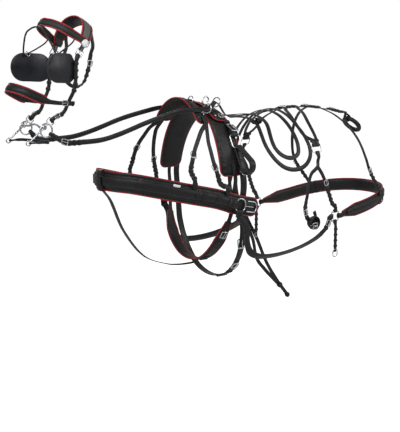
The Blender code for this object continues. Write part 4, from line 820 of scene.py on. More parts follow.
def at_length(path, reach):
    """The path's point, face and direction at a distance from its start."""
    gone = 0.0
    for (a, face_a), (b, face_b) in zip(path, path[1:]):
        step = (b - a).length
        if gone + step >= reach:
            t = (reach - gone) / step
            return a.lerp(b, t), face_a.lerp(face_b, t).normalized(), (b - a).normalized()
        gone += step


def between(low, high, share):
    """The scales a share of the way from one pair to another."""
    return tuple(a + (b - a) * share for a, b in zip(low, high))


def clamped(value):
    return min(max(value, 0.0), 1.0)


# Builders of straps, pads and metal
CRUMPLE = 0.0005
PAD_CRUMPLE = 0.0011
CRUMPLE_SIZE = 0.045
PIPING_OUT = PIPING_RADIUS * 0.6
SEAM_RISE_SHARE = 0.16
SEAM_STEP = 0.012
CORNER_STEPS = 9
routes = {}
seams = {body: [] for body in frame["bodies"]}
holes = {body: [] for body in frame["bodies"]}
pipes = []


def sew(route, body, start=0.0, stop=None, width=None, lift=None):
    """Two rows of stitches along a route, one inside each edge."""
    for sign in (-1, 1):
        line = []
        for reach in route.reaches(start, route.length if stop is None else stop, SEAM_STEP):
            point, across, up, _, wide, thick = route.at(reach)
            wide = width or wide
            half = wide / 2 - min(SEAM_INSET, wide * 0.2)
            rise = thick / 2 if lift is None else lift
            line.append((point + across * (sign * half) + up * rise, up))
        seams[body].append((line, False))


def strap(name, path, width, thick, scales=None, extra=(), stitched=False):
    """A leather strap that stands for the CAD node of its name."""
    route = routes[name] = Route(path, width, thick, scales)
    mesh = carried(route.sections(), strap_outline, STRAP)
    if stitched:
        sew(route, BODY_OF_NODE[name])
    return stand_in(name, "leather", [crumpled(mesh, CRUMPLE, CRUMPLE_SIZE), *extra])


def straps(name, path, width, thick, scales=None, stitched=False):
    """A pair of straps, from the near one's path."""
    for label, side in SIDES:
        strap(label + name, mirrored(path, side), width, thick, scales, stitched=stitched)


def forked(name, path, branch_name, branch_path, width):
    """A pair of forked straps, from the near one's path and its branch's."""
    for label, side in SIDES:
        branch = mirrored(branch_path, side)
        routes[label + branch_name] = Route(branch, width, STRAP_THICKNESS)
        strap(label + name, mirrored(path, side), width, STRAP_THICKNESS,
              extra=[swept(branch, width, BRANCH_THICKNESS)])


def corner_rows(route, corner):
    """Distances along a route, close together at its rounded ends, each with its width there."""
    turns = [corner * (1 - math.cos(math.pi / 2 * k / CORNER_STEPS)) for k in range(CORNER_STEPS)]
    rows = [(depth, depth) for depth in turns]
    rows += [(reach, corner) for reach in route.reaches(corner, route.length - corner)]
    rows += [(route.length - depth, depth) for depth in turns[::-1]]
    for reach, depth in rows:
        point, across, up, _, wide, thick = route.at(reach)
        turn = min(corner, wide / 2)
        half = wide / 2
        if depth < turn:
            half += math.sqrt(max(turn ** 2 - (turn - depth) ** 2, 0.0)) - turn + TINY * 20
        yield reach, point, across, up, 2 * half, thick


def outline_of(route, corner, inset, rise):
    """A rounded piece's outline as a closed line: inset from its edge, raised by a share."""
    sides = [[], []]
    for _, point, across, up, wide, thick in corner_rows(route, corner):
        for sign, line in zip((0.5, -0.5), sides):
            line.append((point + across * (sign * wide) + up * (thick * rise), up))
    loop = sides[0] + sides[1][::-1]
    line = []
    for k, (here, up) in enumerate(loop):
        there = loop[(k + 1) % len(loop)][0]
        at_end = k in (len(sides[0]) - 1, len(loop) - 1)
        count = max(1, round((there - here).length / STEP)) if at_end else 1
        line += [(here.lerp(there, j / count), up) for j in range(count)]
    return [(point - across * inset, up) for point, across, up, _ in frames(line, True)]


END_MARGIN = 0.004
END_RUN = 0.012
END_FILL = 0.34


def pad(name, path, width, thick, scales=None, closed=False, corner=0.0, faced=None, extra=(),
        fold=0.0, piped_half=None, lane=0.0, swell=0.0):
    """A padded band: rounded ends, a filled middle in a sewn margin, and red piping all round."""
    route = routes[name] = Route(path, width, thick, scales, closed)
    rows = route.sections()
    if corner:
        rows = []
        for reach, point, across, up, wide, deep in corner_rows(route, corner):
            run = clamped((min(reach, route.length - reach) - END_MARGIN) / END_RUN)
            filled = END_FILL + (1 - END_FILL) * run * run * (3 - 2 * run)
            point = point - up * (deep * (1 - filled) * 0.25)
            rows.append((point, across, up, wide, deep * filled))
    elif not closed:
        rows = [(*route.at(reach)[:3], *route.at(reach)[4:]) for reach in
                route.reaches(0.0, route.length)]
    mesh = carried(rows, pad_outline, PADDING, closed, faced, PAD_FACE if faced else ())
    if swell:
        filled_out(mesh, lane, swell, closed)
    crumpled(mesh, PAD_CRUMPLE, CRUMPLE_SIZE)
    seam = seams[BODY_OF_NODE[name]]
    if corner:
        pipes.append((outline_of(route, corner, -PIPING_OUT, 0.0), True))
        seam.append((outline_of(route, corner, SEAM_INSET, SEAM_RISE_SHARE), True))
    else:
        first, last = (-piped_half, piped_half) if piped_half else (fold, route.length - fold)
        for sign in (1, -1):
            lines = [[], []]
            for reach in route.reaches(first, last):
                point, across, up, _, wide, deep = route.at(reach)
                for line, out, rise in zip(lines, (PIPING_OUT, -SEAM_INSET),
                                           (0.0, deep * SEAM_RISE_SHARE)):
                    line.append((point + across * (sign * (wide / 2 + out)) + up * rise, up))
            pipes.append((lines[0], closed and not piped_half))
            seam.append((lines[1], closed and not piped_half))
    return stand_in(name, "padding", [mesh, *extra])


TUBE_WEAR = 0.15
BAR_STEP = 0.003


def tube(line, radius, sides=10, closed=False, finish=CHROME):
    """A round bar along a line of places."""
    rings = [[point + spoke * radius for spoke in around(sides, across, up)]
             for point, across, up, _ in frames(line, closed)]
    return skinned(rings, [TUBE_WEAR] * sides, finish, closed)


def frame_loop(length, width, corner, steps):
    """A rounded rectangle's points in its own plane, as (along, across) pairs."""
    points = []
    for k, (u, v) in enumerate(((1, 1), (-1, 1), (-1, -1), (1, -1))):
        for j in range(steps + 1):
            angle = math.pi / 2 * (k + j / steps)
            points.append((u * (length / 2 - corner) + corner * math.cos(angle),
                           v * (width / 2 - corner) + corner * math.sin(angle)))
    return points


def ring_mesh(centre, along, face, length, width, bar, corner):
    """A rounded rectangular ring of bar."""
    along = along.normalized()
    across = face.cross(along).normalized()
    normal = along.cross(across)
    corners = [centre + along * u + across * v for u, v in frame_loop(length, width, corner, 6)]
    dense = []
    for a, b in zip(corners, corners[1:] + corners[:1]):
        count = max(1, round((b - a).length / STEP))
        dense += [(a.lerp(b, j / count), normal) for j in range(count) if (b - a).length > TINY]
    return tube(dense, bar, 12, True)


def tongue_mesh(centre, along, face, length, bar):
    """A buckle's tongue: wrapped round the back bar and lying over the front one."""
    across = face.cross(along).normalized()
    normal = along.cross(across)
    half = length / 2
    places = ((-half - bar * 1.5, 0.0), (-half, 1.9), (-length * 0.2, 1.5), (length * 0.2, 1.2),
              (half - bar, 1.9), (half + bar * 1.3, 1.1))
    line = [(centre + along * u + normal * (bar * v), across) for u, v in places]
    return tube(refined(line, step=BAR_STEP)[0], bar * 0.75)


def link(name, centre, along, face, length, width, bar, corner=LINK_CORNER):
    """A pair of plain links, one a side."""
    for label, side in SIDES:
        mesh = ring_mesh(flip(centre, side), flip(along, side), flip(face, side), length, width,
                         bar, corner)
        stand_in(label + name, "chrome", [mesh])


def through_buckle(name, path, at_share, width, thickness, bar, length):
    """A buckle on a strap that runs through it: one bar under the strap and one over it."""
    route = Route(path, width, thickness)
    reach = route.length * at_share
    clear = bar + LAYER_GAP + thickness / 2
    low, _, low_face, *_ = route.at(reach - length / 2)
    high, _, high_face, *_ = route.at(reach + length / 2)
    low, high = low - low_face * clear, high + high_face * clear
    span = (high - low).length
    along, face = (high - low).normalized(), (low_face + high_face).normalized()
    centre = (low + high) / 2
    whole = width + 2 * (SIDE_CLEARANCE + bar)
    ring = ring_mesh(centre, along, face, span, whole, bar, LINK_CORNER * 0.8)
    stand_in(name, "chrome", [ring, tongue_mesh(centre, along, face, span, bar)])


TURNED_SHARP_DEGREES = 38


def turned(foot, axis, side, rows, sides=20, finish=CHROME, scale=1.0):
    """A turned post or stud: (height, radius) rows about an axis."""
    across = axis.cross(side).normalized()
    spokes = around(sides, across, across.cross(axis))
    rings = [[foot + axis * (height * scale) + spoke * max(radius * scale, TINY * 5)
              for spoke in spokes] for height, radius in rows]
    return skinned(rings, [0.0] * sides, finish, sharp=TURNED_SHARP_DEGREES)


# A terret's foot: heights in bars and shares of its stem, radii in bars
TERRET_ROWS = ((0.0, 0.0, 3.0), (0.45, 0.0, 3.2), (0.8, 0.0, 2.9), (0.0, 0.34, 1.7),
               (0.0, 0.46, 2.1), (0.0, 0.58, 1.5), (0.0, 0.9, 1.15), (1.0, 1.0, 1.35))
terret_centres = {}


def terrets(name, x_share, degrees, lift):
    """A pair of rein rings on posts, one a side, square to the skin."""
    for label, side in SIDES:
        skin = body_normal(x_share, -side * degrees)
        foot = body_point(x_share, -side * degrees) + skin * lift
        centre = foot + skin * (TERRET_STEM + TERRET_RADIUS)
        spokes = around(48, skin, skin.cross(REARWARD).normalized())
        ring = [(centre + spoke * TERRET_RADIUS, REARWARD) for spoke in spokes]
        rows = [(TERRET_BAR * bars + TERRET_STEM * stems, TERRET_BAR * radius)
                for bars, stems, radius in TERRET_ROWS]
        post = turned(foot, skin, REARWARD, rows)
        stand_in(label + name, "chrome", [tube(ring, TERRET_BAR, 14, True), post])
        terret_centres[label + name] = (centre, skin)


# Fittings that a strap carries: keepers, buckles, studs, layers with punched holes, each hole a
# disc of painted shade
KEEPER_THICKNESS = 0.0022
KEEPER_SPARE = 0.003
LAYER_THICKNESS = 0.0030
HOLE_SPACING = 0.018
FRAME_SPARE = 0.0012
FRAME_CORNER = 0.005
STUD_ROWS = ((0.0, 1.0), (0.21, 1.0), (0.4125, 0.86), (0.585, 0.60), (0.69, 0.30), (0.735, 0.02))
zones = {}


def add(zone, *meshes, body="harness"):
    """Small leather and metal, gathered by zone, body and finish, and made one piece each."""
    for mesh in meshes:
        zones.setdefault((zone, body, mesh.materials[0].name), []).append(mesh)


def keeper(route, reach, run, width, low, high):
    """A leather loop round a stack of straps, from a height under the route to one over it."""
    point, across, up, *_ = route.at(reach)
    middle = point + up * ((low + high) / 2)
    tall, wide = high - low + KEEPER_THICKNESS, width + KEEPER_THICKNESS
    corner = min(tall, wide) * 0.38
    loop = []
    for u, v in frame_loop(tall, wide, corner, 4):
        out = up * (u - math.copysign(tall / 2 - corner, u))
        out += across * (v - math.copysign(wide / 2 - corner, v))
        loop.append((middle + up * u + across * v, out.normalized()))
    rows = [(p, a, u, run, KEEPER_THICKNESS) for p, a, u, _ in frames(loop, True)]
    return carried(rows, strap_outline, STRAP, True)


def stud(point, up, along, radius):
    """A round-headed stud."""
    return turned(point, up, along, STUD_ROWS, 16, scale=radius)


def billet(zone, route, width, start, stop, keepers, buckle=None, run=0.012, bar=0.0019,
           length=0.024, punched=0, tips=(False, True), puff=0.001, deep=LAYER_THICKNESS,
           body="harness"):
    """A strap's second layer with its tip, the keepers that hold it and the buckle it passes."""
    start, stop, *keepers = (route.length + reach if reach < 0 else reach
                             for reach in (start, stop, *keepers))
    thick = route.at((start + stop) / 2)[5]
    top = thick / 2 + deep
    lift = thick / 2 + deep / 2 + GAP / 2
    add(zone, layer(route, start, stop, width, deep, lift, tips), body=body)
    inset = width * 0.7
    sew(route, body, start + inset * tips[0], stop - inset * tips[1], width, lift + deep / 2)
    for reach in keepers:
        add(zone, keeper(route, reach, run, width + KEEPER_SPARE, -thick / 2 - GAP,
                         top + GAP + puff), body=body)
    if buckle:
        point, _, up, along, *_ = route.at(route.length + buckle if buckle < 0 else buckle)
        centre, along = point + up * (top + bar * 0.6), -along if tips[0] else along
        whole = width + 2 * (bar + FRAME_SPARE)
        add(zone, ring_mesh(centre, along, up, length, whole, bar, FRAME_CORNER),
            tongue_mesh(centre, along, up, length, bar), body=body)
    for k in range(punched):
        back = width * 1.1 + HOLE_SPACING * k
        point, _, up, *_ = route.at(stop - back if tips[1] else start + back)
        holes[body].append(([(point + up * (lift + deep / 2), up)], False))


def counted(route, side):
    """Reaches from a route's near end, or the same ones from its far end."""
    return lambda reach: reach if side < 0 else route.length - reach


# Geometry Nodes: piping, stitches, and discs of painted shade for punched holes
def tree(name, **numbers):
    """A new tree, its given sockets and its end: a mesh, named numbers and a material in."""
    made = bpy.data.node_groups.new(name, "GeometryNodeTree")
    sockets = [("Geometry", "NodeSocketGeometry", None)]
    for label, value in numbers.items():
        kind = "NodeSocketInt" if isinstance(value, int) else "NodeSocketFloat"
        sockets.append((label, kind, value))
    sockets.append(("Material", "NodeSocketMaterial", None))
    for label, kind, value in sockets:
        socket = made.interface.new_socket(label, in_out="INPUT", socket_type=kind)
        if value is not None:
            socket.default_value = value
    made.interface.new_socket("Geometry", in_out="OUTPUT", socket_type="NodeSocketGeometry")
    return made, made.nodes.new("NodeGroupInput").outputs, made.nodes.new("NodeGroupOutput")


def ending(made, source, given, end):
    """Realize Instances and Set Material, on the way to the tree's end."""
    real = new_node(made, "GeometryNodeRealizeInstances", {0: source})
    paint = new_node(made, "GeometryNodeSetMaterial",
                     {"Geometry": real.outputs[0], "Material": given["Material"]})
    feed(made, end, {0: paint.outputs[0]})
    return made


def stored_face(made):
    """The face that each point of a line was stored with."""
    face = new_node(made, "GeometryNodeInputNamedAttribute", {"Name": "face"},
                    data_type="FLOAT_VECTOR")
    return face.outputs["Attribute"]


PIPING_SIDES = 10
STITCH_LENGTH = 0.0034
THREAD_WIDTH = 0.0009
HOLE_RADIUS = 0.0021
HOLE_DEPTH = 0.0004


def piping_tree():
    made, given, end = tree("piping", Radius=PIPING_RADIUS, Sides=PIPING_SIDES)
    line = new_node(made, "GeometryNodeMeshToCurve", {"Mesh": given["Geometry"]})
    ring = new_node(made, "GeometryNodeCurvePrimitiveCircle",
                    {"Radius": given["Radius"], "Resolution": given["Sides"]})
    cord = new_node(made, "GeometryNodeCurveToMesh", {
        "Curve": line.outputs[0], "Profile Curve": ring.outputs[0], "Fill Caps": True})
    smooth = new_node(made, "GeometryNodeSetShadeSmooth", {"Geometry": cord.outputs[0]})
    return ending(made, smooth.outputs[0], given, end)


def stitching_tree():
    """Grains of thread along each line, their length along it and their top to its face."""
    made, given, end = tree("stitching", Spacing=STITCH_SPACING, Length=STITCH_LENGTH,
                            Thread=THREAD_WIDTH)
    line = new_node(made, "GeometryNodeMeshToCurve", {"Mesh": given["Geometry"]})
    even = new_node(made, "GeometryNodeCurveToPoints",
                    {"Curve": line.outputs[0], "Length": given["Spacing"]}, mode="LENGTH")
    grain = new_node(made, "GeometryNodeMeshUVSphere", {"Segments": 5, "Rings": 3})
    half = new_node(made, "ShaderNodeMath", {0: given["Length"], 1: 0.5}, operation="MULTIPLY")
    size = new_node(made, "ShaderNodeCombineXYZ",
                    {"X": half.outputs[0], "Y": given["Thread"], "Z": given["Thread"]})
    lay = new_node(made, "FunctionNodeAlignRotationToVector",
                   {"Vector": even.outputs["Tangent"]}, axis="X")
    lift = new_node(made, "FunctionNodeAlignRotationToVector",
                    {"Rotation": lay.outputs["Rotation"], "Vector": stored_face(made)},
                    axis="Z", pivot_axis="X")
    sown = new_node(made, "GeometryNodeInstanceOnPoints", {
        "Points": even.outputs["Points"], "Instance": grain.outputs["Mesh"],
        "Rotation": lift.outputs["Rotation"], "Scale": size.outputs[0]})
    return ending(made, sown.outputs[0], given, end)


def hole_shade_tree():
    # Thin near-black discs of painted shade, standing in for the inside of each punched hole
    made, given, end = tree("punched_holes", Radius=HOLE_RADIUS, Depth=HOLE_DEPTH)
    disc = new_node(made, "GeometryNodeMeshCylinder",
                    {"Vertices": 12, "Radius": given["Radius"], "Depth": given["Depth"]})
    lift = new_node(made, "FunctionNodeAlignRotationToVector", {"Vector": stored_face(made)},
                    axis="Z")
    sown = new_node(made, "GeometryNodeInstanceOnPoints", {
        "Points": given["Geometry"], "Instance": disc.outputs["Mesh"],
        "Rotation": lift.outputs["Rotation"]})
    return ending(made, sown.outputs[0], given, end)


def run_through(name, lines, nodes, finish, body):
    """Lines of (point, face) run through a tree and kept as one plain mesh."""
    points, edges, faces = [], [], []
    for line, closed in lines:
        start = len(points)
        points += [point for point, _ in line]
        faces += [face for _, face in line]
        edges += [(start + k, start + k + 1) for k in range(len(line) - 1)]
        if closed:
            edges.append((start + len(line) - 1, start))
    seed = bpy.data.meshes.new(name + "_lines")
    seed.from_pydata(points, edges, [])
    stored = seed.attributes.new("face", "FLOAT_VECTOR", "POINT")
    stored.data.foreach_set("vector", [c for face in faces for c in face])
    carrier = placed(name + "_lines", seed)
    runner = carrier.modifiers.new(name, "NODES")
    runner.node_group = nodes
    for item in nodes.interface.items_tree:
        if item.name == "Material":
            runner[item.identifier] = finish
    graph = bpy.context.evaluated_depsgraph_get()
    mesh = bpy.data.meshes.new_from_object(carrier.evaluated_get(graph), depsgraph=graph)
    carrier.modifiers.remove(runner)
    bpy.data.objects.remove(carrier)
    mesh.name = name
    mesh.materials.clear()
    mesh.materials.append(finish)
    mesh.polygons.foreach_set("material_index", [0] * len(mesh.polygons))
    return held(name, mesh, body)


# Saddle: a pad over the back, the backband on it and the seat over both
SADDLE_SHARE = -0.018
ARCH_STEP_DEGREES = 4
PAD_HALF_DEGREES = 76
SEAT_HALF_DEGREES = 32
BAND_HALF_DEGREES = 36
BAND_SHIFT = SADDLE_PAD_WIDTH * 0.36
PAD_LIFT = SADDLE_PAD_THICKNESS / 2
BAND_LIFT = PAD_LIFT + LAYER_GAP + HEAVY_THICKNESS / 2
SEAT_LIFT = PAD_LIFT + LAYER_GAP + GAP + SEAT_THICKNESS / 2
SEAT_TOP = SADDLE_PAD_THICKNESS + LAYER_GAP + GAP + SEAT_THICKNESS
SADDLE_TERRET_DEGREES = 17
pad_path = arch(SADDLE_SHARE, PAD_HALF_DEGREES, PAD_LIFT)
pad("saddle_pad", pad_path, SADDLE_PAD_WIDTH, SADDLE_PAD_THICKNESS, corner=0.034,
    lane=0.034, swell=0.0040)
seat_path = middle_of(beside(pad_path, 0.0, SEAT_LIFT), SEAT_HALF_DEGREES)
seat_ends = [(0.80, 1.0), (0.94, 1.0)]
seat_scales = seat_ends + [FULL] * (len(seat_path) - 4) + seat_ends[::-1]
pad("saddle_seat", seat_path, SEAT_WIDTH, SEAT_THICKNESS, seat_scales, corner=0.026)
terrets("_saddle_terret", SADDLE_SHARE, SADDLE_TERRET_DEGREES, SEAT_TOP + LAYER_GAP)

# Bearing-rein hook: a post that curls back over the middle of the seat
HOOK_SHARES = ((0.0, 0.0), (0.0, 0.45), (0.10, 0.75), (0.42, 1.0), (0.80, 0.86), (0.92, 0.58),
               (0.74, 0.42))
HOOK_HEIGHT = 0.042
HOOK_BAR = 0.0036
HOOK_FOOT_ROWS = ((0.0, 0.011), (0.0016, 0.0112), (0.0030, 0.0095), (0.0075, 0.0055),
                  (0.010, 0.0040))
hook_up = body_normal(SADDLE_SHARE, 0)
hook_back = hook_up.cross(OUT)
hook_foot = body_point(SADDLE_SHARE, 0) + hook_up * (SEAT_TOP + LAYER_GAP)
hook = [(hook_foot + (hook_back * u + hook_up * v) * HOOK_HEIGHT, OUT) for u, v in HOOK_SHARES]
hook = refined(eased(hook, 16), step=BAR_STEP)[0]
stand_in("saddle_hook", "chrome", [tube(hook, HOOK_BAR, 14),
                                   turned(hook_foot, hook_up, OUT, HOOK_FOOT_ROWS)])

# Tug buckles: the backband turns round the upper bar, the shaft tug round the lower one
BAND_SHARE = 0.007
TUG_HEEL_DEGREES = 45
TUG_FOOT_DEGREES = 55
TUG_REST_DEGREES = 69.5
TUG_BAR_LIFT = SADDLE_PAD_THICKNESS + HEAVY_THICKNESS + HEAVY_BAR_RADIUS + EYE_GAP + 2 * LAYER_GAP
TUG_LINK_WIDTH = BACKBAND_WIDTH + 2 * (LINK_CORNER + SIDE_CLEARANCE)
TUG_BULGE = 0.008
TUG_LIFT = (SADDLE_PAD_THICKNESS + HEAVY_THICKNESS + 2 * LAYER_GAP + TUG_THICKNESS / 2
            + TUG_SPAN / 2 + TUG_BULGE)


def tug_loop(bar, middle, small, large, steps):
    """A band round a bar and a larger circle, as a belt lies round two pulleys."""
    down = (middle - bar).normalized()
    sideways = REARWARD.cross(down)
    spread = math.acos((large - small) / (middle - bar).length)
    rest = 2 * math.pi - 2 * spread
    turns = [(bar, small, -spread + 2 * spread * k / 6) for k in range(7)]
    turns += [(middle, large, spread + rest * k / (steps - 1)) for k in range(steps)]
    path = []
    for centre, radius, angle in turns:
        radial = sideways * math.sin(angle) - down * math.cos(angle)
        path.append((centre + radial * radius, radial))
    return path


upper, lower = on_body([(BAND_SHARE, TUG_HEEL_DEGREES), (BAND_SHARE, TUG_FOOT_DEGREES)],
                       TUG_BAR_LIFT)
upper, lower = upper[0], lower[0]
along = (lower - upper).normalized()
face = -REARWARD.cross(along)
link("_tug_buckle", (upper + lower) / 2, along, face, (lower - upper).length, TUG_LINK_WIDTH,
     HEAVY_BAR_RADIUS)
tug_middle = on_body([(BAND_SHARE, TUG_REST_DEGREES)], TUG_LIFT)[0][0]
tug_middle.x = lower.x
for label, side in SIDES:
    loop = tug_loop(flip(lower, side), flip(tug_middle, side),
                    HEAVY_BAR_RADIUS + EYE_GAP + TUG_THICKNESS / 2, TUG_SPAN / 2, 17)
    name = label + "_shaft_tug"
    route = routes[name] = Route(loop, TUG_WIDTH, TUG_THICKNESS, closed=True)
    mesh = carried(route.sections(), strap_outline, STRAP, True)
    stand_in(name, "leather", [crumpled(mesh, CRUMPLE, CRUMPLE_SIZE)])
    sew(route, BODY_OF_NODE[name])

lead, turn = eye(upper, along, face, HEAVY_THICKNESS, HEAVY_BAR_RADIUS)
band_middle = middle_of(beside(pad_path, -BAND_SHIFT, BAND_LIFT), BAND_HALF_DEGREES)
band_path = turn[::-1] + lead + band_middle + mirrored(lead + turn)
strap("backband", band_path, BACKBAND_WIDTH, HEAVY_THICKNESS, stitched=True)

# Girth: a padded belt under the belly, with a narrow billet up to each end of the saddle pad
GIRTH_TURN_SHARES = (-0.014, 80)
GIRTH_SHARES = ((-0.016, 90), (-0.018, 100), (-0.022, 110), (-0.030, 122), (-0.036, 140),
                (-0.038, 160), (-0.038, 180))
GIRTH_SHIFT = SADDLE_PAD_WIDTH * 0.06
GIRTH_COUNT = 33
GIRTH_BILLET_SHARES = (0.36, HEAVY_THICKNESS / GIRTH_THICKNESS)
GIRTH_BILLET_REACH = 0.30
girth_half = beside(pad_path, -GIRTH_SHIFT, BAND_LIFT)[:3][::-1]
girth_half += on_body([GIRTH_TURN_SHARES], SADDLE_PAD_THICKNESS + HEAVY_THICKNESS)
girth_half += on_body(GIRTH_SHARES, GIRTH_THICKNESS / 2)
girth_scales = [between(GIRTH_BILLET_SHARES, FULL, clamped((min(k, GIRTH_COUNT - 1 - k) - 7) / 3))
                for k in range(GIRTH_COUNT)]
pad("girth", eased(full_round(girth_half), GIRTH_COUNT), GIRTH_WIDTH, GIRTH_THICKNESS,
    girth_scales, fold=GIRTH_BILLET_REACH, lane=0.018, swell=0.0025)

# Belly band: hangs clear of the belly, buckled on the near side
BELLY_TOP_SHARES = ((0.010, 71), (0.011, 76), (0.012, 82), (0.012, 91), (0.012, 100))
BELLY_DROP_SHARES = (((0.017, -0.425, -0.760), (-0.94, -0.34)),
                     ((0.023, -0.345, -0.925), (-0.80, -0.60)),
                     ((0.025, -0.200, -1.040), (-0.40, -0.92)),
                     ((0.025, 0.0, -1.080), (0.0, -1.0)))
PAD_EDGE_DROP = 0.0016
BELLY_BUCKLE_SHARE = 0.265
belly_half = on_body(BELLY_TOP_SHARES[:3], PAD_LIFT + BAND_LIFT - PAD_EDGE_DROP)
belly_half += on_body(BELLY_TOP_SHARES[3:], HEAVY_THICKNESS)
belly_half += [(place(shares), Vector((0.0, *face))) for shares, face in BELLY_DROP_SHARES]
belly_path = eased(full_round(belly_half), 29)
strap("belly_band", belly_path, BELLY_BAND_WIDTH, HEAVY_THICKNESS)
through_buckle("belly_band_buckle", belly_path, BELLY_BUCKLE_SHARE, BELLY_BAND_WIDTH,
               HEAVY_THICKNESS, HEAVY_BAR_RADIUS, HEAVY_BUCKLE_LENGTH)

# Neck strap: a padded yoke over the withers with a terret and two uptugs a side
NECK_PAD_SHARE = SADDLE_SHARE - ((SADDLE_PAD_WIDTH + NECK_PAD_WIDTH) / 2 - LAYER_GAP) / BODY_LENGTH
NECK_PAD_DEGREES = 40
NECK_TERRET_SHARE = NECK_PAD_SHARE + NECK_PAD_WIDTH * 0.21 / BODY_LENGTH
NECK_TERRET_DEGREES = 29
neck_path = arch(NECK_PAD_SHARE, NECK_PAD_DEGREES, NECK_PAD_THICKNESS / 2)
pad("neck_pad", neck_path, NECK_PAD_WIDTH, NECK_PAD_THICKNESS, corner=0.030, lane=0.006,
    swell=0.0030)
terrets("_neck_terret", NECK_TERRET_SHARE, NECK_TERRET_DEGREES, NECK_PAD_THICKNESS + GAP)

# Breastcollar: places of its middle line, from the near end to the chest
COLLAR_SHARES = (
    (0.0475, -0.487, -0.590), (0.015, -0.478, -0.574), (-0.025, -0.467, -0.551),
    (-0.073, -0.452, -0.511), (-0.125, -0.430, -0.480), (-0.180, -0.397, -0.448),
    (-0.250, -0.312, -0.406), (-0.2875, -0.233, -0.385), (-0.310, -0.133, -0.378),
    (-0.320, 0.0, -0.375),
)
TRACE_LINK_SHARE = 0.070
TRACE_LINK_LENGTH = TRACE_WIDTH + 2 * (LINK_CORNER + SIDE_CLEARANCE)
TRACE_LINK_WIDTH = COLLAR_STRAP_WIDTH + 2 * (LINK_CORNER + SIDE_CLEARANCE)
TRACE_BAR_OUT = COLLAR_THICKNESS / 2 + HEAVY_THICKNESS + HEAVY_BAR_RADIUS + EYE_GAP + LAYER_GAP
STRAP_OUT = COLLAR_THICKNESS / 2 + LAYER_GAP + GAP + HEAVY_THICKNESS / 2
collar_path = level_path(COLLAR_SHARES, 1.0, 35)
COLLAR_LENGTH = path_length(collar_path)
pad("breastcollar_pad", collar_path, COLLAR_HEIGHT, COLLAR_THICKNESS, corner=0.038,
    lane=0.026, swell=0.0035)
point, trace_face, forward = at_length(collar_path, COLLAR_LENGTH * TRACE_LINK_SHARE)
trace_centre = point + trace_face * TRACE_BAR_OUT
link("_trace_buckle", trace_centre, -forward, trace_face, TRACE_LINK_LENGTH, TRACE_LINK_WIDTH,
     HEAVY_BAR_RADIUS, TRACE_LINK_LENGTH * 0.42)
heel = trace_centre + forward * (TRACE_LINK_LENGTH / 2)
lead, turn = eye(heel, -forward, trace_face, HEAVY_THICKNESS, HEAVY_BAR_RADIUS)
start = COLLAR_LENGTH * TRACE_LINK_SHARE + TRACE_LINK_LENGTH / 2 + 2 * LEAD
middle = [(point + face * STRAP_OUT, face) for k, (point, face) in enumerate(collar_path)
          if start <= path_length(collar_path[:k + 1]) <= COLLAR_LENGTH - start]
collar_strap_path = turn[::-1] + lead + middle + mirrored(lead + turn)
strap("breastcollar_strap", collar_strap_path, COLLAR_STRAP_WIDTH, HEAVY_THICKNESS, stitched=True)

# Uptugs: one forked piece a side, from the yoke down to the collar's outer face
UPTUG_PAD_SHARES = (-0.10, -0.04, 0.03, 0.09)
FRONT_UPTUG_SHARES = ((-0.100, 51), (-0.116, 60), (-0.130, 68), (-0.140, 76), (-0.146, 83))
REAR_UPTUG_SHARES = ((-0.082, 51), (-0.083, 57), (-0.081, 63), (-0.077, 70), (-0.068, 78),
                     (-0.060, 84))
FRONT_UPTUG_REACH_SHARE = 0.227
REAR_UPTUG_REACH_SHARE = 0.114
FRONT_BUCKLE_SHARE = 0.62
REAR_BUCKLE_SHARE = 0.64
UPTUG_COUNT = 21
UPTUG_END_SHARES = (0.80, 0.56, 0.31)
OVER_NECK_PAD = NECK_PAD_THICKNESS / 2 + LAYER_GAP + GAP + STRAP_THICKNESS / 2


def to_collar(track, reach_share, fan, rise):
    """A near uptug's route: over the yoke, down the shoulder and onto the collar's outer face."""
    route = []
    for k, share in enumerate(UPTUG_PAD_SHARES):
        lane = beside(neck_path, -share * NECK_PAD_WIDTH * fan, OVER_NECK_PAD + rise)
        route.append(lane[len(UPTUG_PAD_SHARES) - 1 - k])
    lift = NECK_PAD_THICKNESS + rise
    route += on_body(track[:1], lift + STRAP_THICKNESS) + on_body(track[1:], lift)
    point, face, _ = at_length(collar_path, COLLAR_LENGTH * reach_share)
    point = point + face * (COLLAR_THICKNESS / 2 + LAYER_GAP + STRAP_THICKNESS / 2)
    route += [(point + UP * (COLLAR_HEIGHT * share), face) for share in UPTUG_END_SHARES]
    return eased(route, UPTUG_COUNT)


front_route = to_collar(FRONT_UPTUG_SHARES, FRONT_UPTUG_REACH_SHARE, 1.0, 0.0)
rear_route = to_collar(REAR_UPTUG_SHARES, REAR_UPTUG_REACH_SHARE, 0.5, GAP)
forked("_uptugs", front_route, "_rear_uptug", rear_route, UPTUG_WIDTH)
for label, side in SIDES:
    for name, path, share in (("_front_uptug_buckle", front_route, FRONT_BUCKLE_SHARE),
                              ("_rear_uptug_buckle", rear_route, REAR_BUCKLE_SHARE)):
        through_buckle(label + name, mirrored(path, side), share, UPTUG_WIDTH, STRAP_THICKNESS,
                       UPTUG_BAR, BUCKLE_LENGTH)

